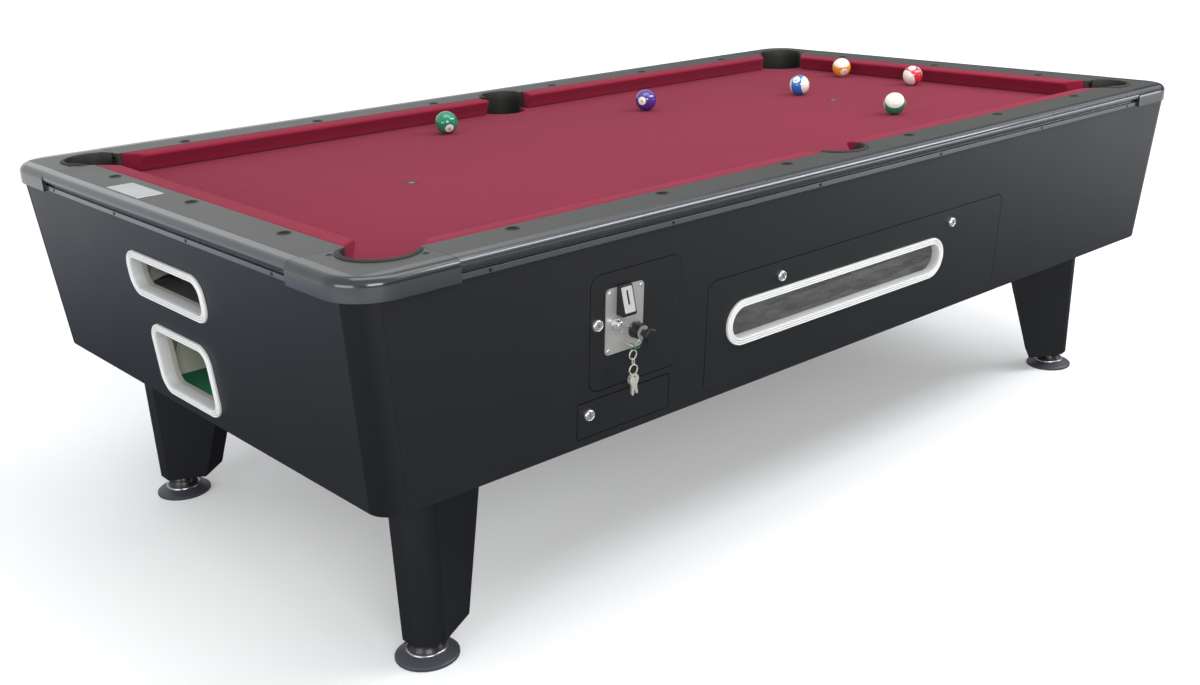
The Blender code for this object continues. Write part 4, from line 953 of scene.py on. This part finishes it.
class PoolLiners(PoolStep):
    """Pocket liners: moulded horseshoe walls with a raised, rounded rim"""

    bl_idname = "pool.liners"
    bl_label = "Pocket liners"

    def execute(self, context):
        look = self.finish("black_rubber")
        corner_wall = (POCKET_IN, POCKET_OUT, -55, 145)
        side_wall = (SIDE_IN, SIDE_OUT, 2, 178)
        liners = [(name, POCKET, x, y, corner_wall) for name, x, y in CORNERS]
        for name, y in (("side_front", -1), ("side_back", 1)):
            liners.append((name, (0, SIDE_POCKET_Y), 1, y, side_wall))
        for name, spot, side_x, side_y, wall in liners:
            place = Matrix.Translation((side_x * spot[0], side_y * spot[1], 0))
            place = place @ Matrix.Diagonal((side_x, side_y, 1, 1))
            form = bmesh.new()
            self.wall(form, *wall, place)
            made = piece("liner_" + name, form, look, sharp=50)
            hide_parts("pocket_liner_" + name)
        return {"FINISHED"}

    def wall(self, form, inner, outer, start, end, place):
        """A wall with a rim on top, both run round the pocket and tapered at the ends."""
        rim = self.sizes.rim
        proud = self.sizes.rim_proud
        base = RAIL_TOP + GAP
        section = [
            (outer - 0.0003, LINER_LOW + 0.001),
            (outer, LINER_LOW + 0.003),
            (outer, base - 0.0006),
            (inner + rim - 0.0004, base),
            (inner + rim, base + proud * 0.25),
            (inner + rim - 0.0010, base + proud * 0.5),
            (inner + rim * 0.68, base + proud * 0.5),
            (inner + rim * 0.62, base + proud * 0.8),
            (inner + rim * 0.50, base + proud),
            (inner + rim * 0.28, base + proud),
            (inner + 0.0010, base + proud * 0.75),
            (inner, base - 0.0008),
            (inner - 0.0002, base - 0.02),
            (inner + 0.0004, LINER_LOW + 0.003),
            (inner + 0.0012, LINER_LOW),
        ]
        steps = 56
        rows = []
        for step in range(steps + 1):
            share = step / steps
            angle = math.radians(start + (end - start) * share)
            ease = min(1.0, min(share, 1 - share) * steps / 4)
            corners = []
            for radius, height in section:
                if height > base:
                    height = base + (height - base) * (0.35 + 0.65 * ease)
                    if radius > outer:
                        radius = min(radius, outer + (radius - outer) * ease)
                corners.append(form.verts.new(place @ polar(radius, angle, height)))
            rows.append(corners)
        skin(form, rows, capped=True)


class PoolWindows(PoolStep):
    """Ribbed window frames, and the clear pane in front of the ball channel"""

    bl_idname = "pool.windows"
    bl_label = "Windows"

    def execute(self, context):
        look = self.look("end_frame_plastic", on_left(0, 0))
        for name, height, size in (
            ("cue_ball_window", UPPER_HEIGHT, UPPER_SIZE),
            ("object_ball_window", LOWER_HEIGHT, LOWER_SIZE),
        ):
            place = on_left(0, height)
            self.frame(name, size, WINDOW_ROUND, PANEL_THICK, place, 10, look, "table")
        look = self.look("front_frame_plastic", on_front(0, 0))
        turn = WINDOW_SIZE[1] / 2
        place = on_front(*WINDOW)
        self.frame("ball_window", WINDOW_SIZE, turn, LEAF_THICK, place, 16, look, "window_leaf")
        self.pane()
        return {"FINISHED"}

    def look(self, name, face):
        """Plastic, bright on the ribs, with painted shade between them and down the sleeve, and the
        board's edge in painted shade deep in the sleeve.
        """
        made, shader, place = new_material(name)
        out = face.to_3x3() @ Vector((0, 0, 1))
        height = place.dot(out) - out.dot(face.translation)
        fine = place.noise(700.0, 3.0)
        rib = height.above(0.0040, 0.0056)
        flange = height.above(0.0008, 0.0022)
        sleeve = height.above(-0.0180, -0.0170)
        colour = self.colours.window
        # painted shade: the flange between the ribs is darkened to 0.70, and the sleeve's wall to
        # 0.58-0.68 of the frame colour
        raised = rib.mix(tone(colour, 0.70), tone(colour))
        wall = fine.mix(tone(colour, 0.58), tone(colour, 0.68))
        # painted shade: the board's edge seen deep in the sleeve is the board colour darkened to
        # 0.36-0.46
        board = fine.mix(tone(self.colours.board, 0.36), tone(self.colours.board, 0.46))
        sleeve.mix(board, flange.mix(wall, raised)).into(shader, "Base Color")
        (0.36 + fine * 0.12 + (1 - sleeve) * 0.3).into(shader, "Roughness")
        fine.bump(0.15, 0.0002).into(shader, "Normal")
        return made

    def frame(self, name, size, turn, thick, place, steps, look, body):
        """A frame whose sleeve goes through a board of this thickness."""
        form = bmesh.new()
        rows = ring_run(form, size, turn, self.section(thick - 0.001), place, steps)
        skin(form, rows, joined=True)
        made = piece("frame_" + name, form, look, body, sharp=50)
        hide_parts(name)

    def section(self, depth):
        """Section of a frame: three ribs on the flange and a sleeve through the board."""
        made = [(0.0004, GAP), (0.0, 0.0012)]
        for start in (0.0006, 0.0056, 0.0106):
            made += [(start, PROUD * 0.62), (start + 0.0014, PROUD), (start + 0.0034, PROUD)]
            made += [(start + 0.0044, PROUD * 0.62)]
        return made + [(FLANGE, PROUD * 0.35), (FLANGE, -depth), (SLEEVE, -depth), (SLEEVE, GAP)]

    def pane(self):
        """A scuffed clear pane behind the frame."""
        made, shader, place = new_material("scuffed_pane", IOR=1.49)
        scuffs = place.scaled((1.0, 1.0, 4.0)).noise(14.0, 8.0, 0.7)
        fine = place.scaled((0.15, 1.0, 1.0)).noise(240.0, 4.0)
        scuffs.mix((0.10, 0.10, 0.10, 1), (0.24, 0.24, 0.235, 1)).into(shader, "Base Color")
        (0.12 + fine * 0.22).into(shader, "Roughness")
        (0.22 + scuffs.above(0.35, 0.75) * 0.28).into(shader, "Alpha")
        form = bmesh.new()
        edge = FLANGE + GAP
        section = [(edge, -0.0165), (edge, -0.0145), (edge + 0.001, -0.0138)]
        rows = ring_run(form, WINDOW_SIZE, WINDOW_SIZE[1] / 2, section, on_front(*WINDOW), 16)
        skin(form, rows, capped=True)
        piece("ball_window_pane", form, made, "window_leaf")


class PoolCoinFront(PoolStep):
    """Finishes the coin front, the locks and the feet, and adds what is fixed on them"""

    bl_idname = "pool.coin_front"
    bl_label = "Coin front"

    def execute(self, context):
        chrome = self.finish("chrome")
        black = self.finish("black_plastic")
        dress(["coin_plate", "release_gate"], self.finish("brushed_steel"), edge=0.0004)
        dress(["coin_acceptor"], black, edge=0.0005)
        dress(["push_knob"], black, edge=0.0006)
        dress(["plate_lock", *LOCKS], chrome, edge=0.0003)
        dress(named("levelling_foot_"), self.finish("foot_black"), edge=0.0004)
        self.fixings(chrome)
        self.sleeve(black)
        self.face(chrome)
        self.lock_domes(chrome, black)
        self.collars(self.finish("collar_steel"), black)
        return {"FINISHED"}

    def fixings(self, look):
        """Screws in the corners of the coin plate, and the rivets of the mechanism."""
        form = bmesh.new()
        half_x, half_y = (size / 2 - 0.008 for size in PLATE_SIZE)
        for x in (PLATE_MID[0] - half_x, PLATE_MID[0] + half_x):
            for y in (PLATE_MID[1] - half_y, PLATE_MID[1] + half_y):
                screw(form, on_front(x, y, PLATE_FACE), radius=0.0036, dome=0.0015)
        dome = [(0, 0.0016), (0.0011, 0.0014), (0.0021, 0.0008), (0.0024, 0.0), (0.0024, -0.0002)]
        for spot in RIVETS:
            lathe(form, dome, on_front(*spot, PLATE_FACE), steps=20)
        piece("coin_plate_fixings", form, look, "coin_door")

    def sleeve(self, look):
        """A black sleeve over the knob's bush, with a rolled end."""
        profile = [
            (0.0137, PLATE_FACE + 0.0002),
            (0.0160, PLATE_FACE + 0.0002),
            (0.0162, PLATE_FACE + 0.0016),
            (0.0148, PLATE_FACE + 0.0030),
            (0.0146, BUSH_REACH - 0.0012),
            (0.0141, BUSH_REACH - 0.0002),
            (0.0137, BUSH_REACH - 0.0001),
        ]
        place = on_front(*KNOB)
        turned("knob_sleeve", profile, place, 36, look, "coin_door")

    def face(self, look):
        """The acceptor's bright face, bare, with the coin slot through it."""
        form = bmesh.new()
        back = PLATE_FACE + GAP
        low, high = -ACCEPTOR_SIZE[1] / 2, ACCEPTOR_SIZE[1] / 2
        foot = Vector((ACCEPTOR[0], -(back + 0.021), ACCEPTOR[1] + low + 0.004))
        head = Vector((ACCEPTOR[0], -(back + 0.006), ACCEPTOR[1] + high))
        up = (head - foot).normalized()
        out = Vector((1, 0, 0)).cross(up)
        middle = (foot + head) / 2
        turn = Matrix((Vector((1, 0, 0)), up, out)).transposed().to_4x4()
        place = FRONT @ Matrix.Translation(middle) @ turn
        tall = (head - foot).length
        outline = rounded(ACCEPTOR_SIZE[0] - 0.006, tall - 0.006, 0.002, steps=4)
        slot = [(x, y + 0.004) for x, y in rounded(0.0042, 0.027, 0.0015, steps=4)]
        slab(form, [outline, slot], 0.0001, 0.0009, place)
        silver = self.finish("acceptor_face")
        piece("acceptor_face", form, silver, "coin_door", sharp=30)
        form = bmesh.new()
        for x in (-0.0095, 0.0095):
            for y in (-tall / 2 + 0.0075, tall / 2 - 0.0075):
                screw(form, place @ Matrix.Translation((x, y, 0.0009)), radius=0.0013, dome=0.0005)
        piece("acceptor_screws", form, look, "coin_door")

    def lock_domes(self, look, dark):
        """A domed ring round the plug of each lock, and a thin black slab on the plug as painted
        shade in its keyway.
        """
        profile = [
            (0.0079, 0.0048), (0.0082, 0.0058), (0.0088, 0.0061), (0.0098, 0.0056),
            (0.0108, 0.0042), (0.0114, 0.0022),
            (0.0115, GAP),
            (0.0106, GAP),
            (0.0106, 0.0041),
        ]
        for name, spot in LOCKS.items():
            place = on_front(*spot)
            turned("dome_" + name, profile, place, 36, look, name, sharp=60)
            # painted shade: a thin black slab on each plug stands for the shade in its keyway
            form = bmesh.new()
            slab(form, [rounded(0.0017, 0.0068, 0.0008, steps=4)], 0.0045, 0.0054, place)
            piece("keyway_" + name, form, dark, name)

    def collars(self, look, gloss):
        """A bright ring and a glossy cup on each foot, under the leg."""
        cup = [
            (0.0215, 0.0418), (0.0262, 0.0416), (0.0272, 0.0404), (0.0282, 0.0330),
            (0.0306, 0.0262), (0.0338, 0.0222), (0.0346, 0.0205), (0.0330, 0.0200),
            (0.0236, 0.0318),
        ]
        band = [
            (0.0335, 0.0206), (0.0352, 0.0218), (0.0380, 0.0216), (0.0398, 0.0196),
            (0.0402, 0.0172), (0.0380, 0.0160),
        ]
        for corner, side_x, side_y in CORNERS:
            place = Matrix.Translation((side_x * LEG[0], side_y * LEG[1], 0))
            foot = "levelling_foot_" + corner
            turned("collar_" + corner, band, place, 40, look, foot, sharp=60)
            turned("neck_" + corner, cup, place, 40, gloss, foot, sharp=60)


class PoolKeys(PoolStep):
    """The bunch of keys on the wire loop: tie, rings, clip and keys"""

    bl_idname = "pool.keys"
    bl_label = "Keys"

    # Radii of the tie, of both split rings and of a key's bow, and half the width of the key
    TIE = 0.0065
    UPPER = 0.0085
    LOWER = 0.0095
    BOW = 0.0105
    SHOULDER = 0.0040
    BLADE = 0.0033
    # How deep each notch of the blade is cut
    CUTS = (0.0, 0.0012, 0.0004, 0.0016, 0.0008, 0.0013)
    # How each key leans, and how far back it hangs
    KEYS = ((9, -0.0026), (-11, 0.0006), (2, 0.0038))

    def execute(self, context):
        hang = FRONT @ Vector((LOOP[0], -LOOP_REACH - LOOP_HALF, LOOP[1]))
        tie_drop = -self.TIE + 0.0011 + 0.0013 + GAP
        self.tie(hang, tie_drop)
        form = bmesh.new()
        ring_drop = tie_drop - self.TIE - self.UPPER + 0.0004
        self.loop(form, hang + Vector((0, 0, ring_drop)), self.UPPER)
        clip_high = ring_drop - self.UPPER + 0.0008
        clip_low = clip_high - 0.012
        place = Matrix.Translation(hang + Vector((0, 0, (clip_high + clip_low) / 2)))
        outline = rounded(0.0062, 0.0135, 0.0030, steps=6)
        hole = rounded(0.0030, 0.0085, 0.0014, steps=6)
        slab(form, [outline, hole], -0.0013, 0.0013, place @ OUT_OF_FRONT)
        lower_drop = clip_low - self.LOWER + 0.0006
        self.loop(form, hang + Vector((0, 0, lower_drop)), self.LOWER)
        key_top = lower_drop - self.LOWER + 0.0012
        for lean, depth in self.KEYS:
            place = Matrix.Translation(hang + Vector((0, depth, key_top)))
            turn = Matrix.Rotation(math.radians(lean), 4, "Y")
            self.key(form, place @ turn @ OUT_OF_FRONT)
        nickel = self.finish("key_nickel")
        made = piece("keys", form, nickel, "key_bunch", sharp=40)
        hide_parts("key_bunch")
        return {"FINISHED"}

    def tie(self, hang, drop):
        """A green tie round the wire loop, with two loose tails."""
        form = bmesh.new()
        size = self.TIE
        points = []
        for angle in around(24):
            across, along = size * math.cos(angle), size * math.sin(angle)
            points.append(hang + Vector((0.0006 * math.sin(3 * angle), across, drop + along)))
        wire(form, points, radius=0.0009, closed=True)
        knot = hang + Vector((0, -0.0062, drop - 0.001))
        for lean in (-0.35, 0.55):
            tail = []
            for t in (0, 0.3, 0.6, 0.8, 1.0):
                away = (0.011 * t * math.sin(lean), -0.007 * t, 0.006 * t * t - 0.002 * t)
                tail.append(knot + Vector(away))
            wire(form, tail, radius=0.0008)
        piece("key_tie", form, self.finish("tie_green"), "key_bunch")

    def loop(self, form, centre, radius, steps=64):
        """A split ring: two turns of wire side by side."""
        points = []
        for step in range(steps + 1):
            angle = 4 * math.pi * step / steps
            aside = 0.0018 * (step / steps - 0.5)
            point = (radius * math.cos(angle), aside, radius * math.sin(angle))
            points.append(centre + Vector(point))
        wire(form, points, radius=0.0010)

    def key(self, form, place):
        """A key with a round bow, a hole, a shoulder and a cut blade."""
        bow, blade, shoulder = self.BOW, self.BLADE, self.SHOULDER
        neck = -2 * bow - 0.0022
        outline = arc((0, -bow), bow, 250, -70, 28)
        outline += [(shoulder, -2 * bow), (shoulder, neck), (blade, neck)]
        for step, depth in enumerate(self.CUTS):
            high = -2 * bow - 0.0030 - 0.0024 * step
            outline += [(blade - depth, high), (blade - depth, high - 0.0012)]
        outline += [(0.0006, -2 * bow - 0.0190), (-0.0020, -2 * bow - 0.0178)]
        outline += [(-blade, -2 * bow - 0.0160), (-blade, neck), (-shoulder, neck)]
        outline += [(-shoulder, -2 * bow)]
        slab(form, [outline, arc((0, -0.0052), 0.0026, 0, 345, 23)], -0.0010, 0.0010, place)
        rim = [(0.0046, 0.0), (0.0046, 0.0016), (0.0068, 0.0016), (0.0074, 0.0)]
        lathe(form, rim, place @ Matrix.Translation((0, -0.0128, 0)))


class PoolBalls(PoolStep):
    """Six balls on the cloth, with bands and number spots"""

    bl_idname = "pool.balls"
    bl_label = "Balls"

    def execute(self, context):
        radius = self.sizes.ball / 2
        for (x, y), number, colour, band, spot, across in BALLS:
            centre = Vector((x, y, CLOTH_TOP + radius + 0.0001))
            spot = Vector(spot).normalized()
            across = Vector(across).normalized()
            if band:
                spot = (spot - across * spot.dot(across)).normalized()
            look = self.look(number, colour, band, spot, across)
            self.ball("ball_%d" % number, centre, radius, look)
            self.number("number_%d" % number, centre, radius, str(number), spot, across)
        return {"FINISHED"}

    def look(self, number, colour, band, spot, across):
        """Glossy resin: a body or a band of colour, with two white spots."""
        gloss = {"Coat_Weight": 0.6, "Coat_Roughness": 0.04, "Specular_IOR_Level": 0.55}
        made, shader, place = new_material("resin_%d" % number, **gloss)
        toward = place.unit()
        white = (0.80, 0.78, 0.70, 1.0)
        cloud = place.noise(120.0, 5.0)
        body = spread(cloud, colour, 0.1)
        if band:
            outside = abs(toward.dot(across)).above(0.515, 0.53)
            body = outside.mix(body, white)
        disc = abs(toward.dot(spot)).above(0.918, 0.925)
        disc.mix(body, white).into(shader, "Base Color")
        (0.07 + cloud * 0.06).into(shader, "Roughness")
        cloud.bump(0.02, 0.0002).into(shader, "Normal")
        return made

    def ball(self, name, centre, radius, look):
        """A ball about its own origin, so that its look can follow its turn."""
        form = bmesh.new()
        bmesh.ops.create_icosphere(form, subdivisions=5, radius=radius)
        made = piece(name, form, look)
        made.location = centre
        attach(made, "table")

    def number(self, name, centre, radius, text, spot, across):
        """The number, laid on the ball on both sides."""
        curve = bpy.data.curves.new(name, "FONT")
        curve.body = text
        curve.align_x = "CENTER"
        curve.align_y = "CENTER"
        curve.size = radius * 0.44
        curve.resolution_u = 4
        holder = bpy.data.objects.new(name + "_text", curve)
        bpy.context.scene.collection.objects.link(holder)
        bpy.context.view_layer.update()
        graph = bpy.context.evaluated_depsgraph_get()
        flat = bpy.data.meshes.new_from_object(holder.evaluated_get(graph))
        bpy.data.objects.remove(holder)
        bpy.data.curves.remove(curve)
        form = bmesh.new()
        up = (across - spot * across.dot(spot)).normalized()
        for side in (1, -1):
            right = up.cross(spot * side)
            start = len(form.verts)
            form.from_mesh(flat)
            form.verts.ensure_lookup_table()
            for corner in form.verts[start:]:
                toward = spot * side * radius + right * corner.co.x + up * corner.co.y
                corner.co = centre + toward.normalized() * (radius + 0.00012)
        bpy.data.meshes.remove(flat)
        piece(name, form, self.finish("ink", name + "_ink"), outward=False)


class PoolStageBuild(PoolStep):
    """Pale floor, soft light and the camera of the photograph"""

    bl_idname = "pool.stage"
    bl_label = "Stage"

    def execute(self, context):
        stage = context.scene.pool_stage
        self.floor(stage)
        self.sky(stage)
        for name, setting in LIGHTS.items():
            self.light(name, getattr(stage, name), *setting)
        self.camera(context.scene)
        context.scene.view_settings.view_transform = "Standard"
        return {"FINISHED"}

    def floor(self, stage):
        """A pale floor, whiter to the camera, and dark near the table to what mirrors it."""
        form = bmesh.new()
        bmesh.ops.create_circle(form, cap_ends=True, radius=70.0, segments=64)
        mesh = bpy.data.meshes.new("floor")
        form.to_mesh(mesh)
        form.free()
        made = bpy.data.objects.new("floor", mesh)
        bpy.context.scene.collection.objects.link(made)
        constants = {"Roughness": 0.9, "Specular_IOR_Level": 0.0, "Emission_Strength": 1.0}
        look, shader, place = new_material("floor", **constants)
        seen = output(look.node_tree, "ShaderNodeLightPath", "Is Camera Ray")
        mirrored = output(look.node_tree, "ShaderNodeLightPath", "Is Glossy Ray")
        away = place.node("ShaderNodeVectorMath", {"operation": "LENGTH"}, {0: place}, 1)
        ground = away.above(1.9, 4.6).mix((0.10, 0.105, 0.125, 1), tone(stage.floor))
        mirrored.mix(tone(stage.floor), ground).into(shader, "Base Color")
        white = (1.0, 1.0, 1.0)
        lift = away.above(2.4, 9.0).mix(tone(white, stage.lift), tone(white, stage.far_lift))
        shine = away.above(2.8, 3.9).mix((0.0, 0.03, 0.16, 1), (0.30, 0.30, 0.32, 1))
        past_end = (-place.part(0)).above(1.2, 1.7) * away.above(2.0, 2.5) * mirrored
        seen.mix(past_end.mix((0, 0, 0, 1), shine), lift).into(shader, "Emission Color")
        mesh.materials.append(look)

    def sky(self, stage):
        """Light from all round, dim low down in front; white where the camera sees it."""
        world = bpy.data.worlds.new("studio")
        bpy.context.scene.world = world
        world.use_nodes = True
        tree = world.node_tree
        place = output(tree, "ShaderNodeTexCoord", "Generated")
        seen = output(tree, "ShaderNodeLightPath", "Is Camera Ray")
        high = place.part(2).above(0.2, 0.42)
        behind = (place.part(1) - place.part(0)).above(-0.1, 0.5)
        dim, bright = tone((0.14, 0.15, 0.17), stage.sky), tone((1.4, 1.42, 1.45), stage.sky)
        overhead = tone((1.25, 1.27, 1.3), stage.sky)
        light = high.mix(behind.mix(dim, bright), overhead)
        seen.mix(light, (1, 1, 1, 1)).into(tree.nodes["Background"], "Color")

    def light(self, name, power, size, spot, aim, colour):
        data = bpy.data.lights.new(name, "AREA")
        data.shape = "RECTANGLE"
        data.size, data.size_y = size
        data.energy = power
        data.color = colour
        made = bpy.data.objects.new(name, data)
        made.location = spot
        made.rotation_euler = (Vector(aim) - Vector(spot)).to_track_quat("-Z", "Y").to_euler()
        bpy.context.scene.collection.objects.link(made)

    def camera(self, scene):
        level_reach = math.cos(PITCH)
        along, aside = level_reach * math.cos(HEADING), level_reach * math.sin(HEADING)
        ahead = Vector((along, aside, math.sin(PITCH)))
        level = ahead.cross(Vector((0, 0, 1))).normalized()
        down = -level.cross(ahead)
        right = math.cos(ROLL) * level + math.sin(ROLL) * down
        up = math.sin(ROLL) * level - math.cos(ROLL) * down
        data = bpy.data.cameras.new("camera")
        data.sensor_width = SENSOR_MM
        data.lens = LENS_MM
        data.shift_x = SHIFT_X
        data.clip_end = CLIP_END
        made = bpy.data.objects.new("camera", data)
        turn = Matrix((right, up, -ahead)).transposed().to_4x4()
        made.matrix_world = Matrix.Translation(EYE) @ turn
        scene.collection.objects.link(made)
        scene.camera = made


STEPS = (
    PoolStageBuild,
    PoolCabinet,
    PoolRails,
    PoolCloth,
    PoolCushions,
    PoolLiners,
    PoolWindows,
    PoolCoinFront,
    PoolKeys,
    PoolBalls,
)
GROUPS = {"pool_colours": PoolColours, "pool_sizes": PoolSizes, "pool_stage": PoolStage}


class PoolPanel(bpy.types.Panel):
    """Lists the steps and what can be changed"""

    bl_idname = "VIEW3D_PT_pool"
    bl_label = "Pool table"
    bl_space_type = "VIEW_3D"
    bl_region_type = "UI"
    bl_category = "Table"

    def draw(self, context):
        for step in STEPS:
            self.layout.operator(step.bl_idname)
        for group in GROUPS:
            box = self.layout.box()
            settings = getattr(context.scene, group)
            for key in settings.bl_rna.properties.keys():
                if key not in ("rna_type", "name"):
                    box.prop(settings, key)


def register():
    for kind in (*GROUPS.values(), *STEPS, PoolPanel):
        bpy.utils.register_class(kind)
    for key, kind in GROUPS.items():
        setattr(bpy.types.Scene, key, PointerProperty(type=kind))


def unregister():
    for key in GROUPS:
        delattr(bpy.types.Scene, key)
    for kind in reversed((*GROUPS.values(), *STEPS, PoolPanel)):
        bpy.utils.unregister_class(kind)


def main():
    """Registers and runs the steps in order."""
    register()
    for step in STEPS:
        area, name = step.bl_idname.split(".")
        getattr(getattr(bpy.ops, area), name)()


if __name__ == "__main__":
    main()
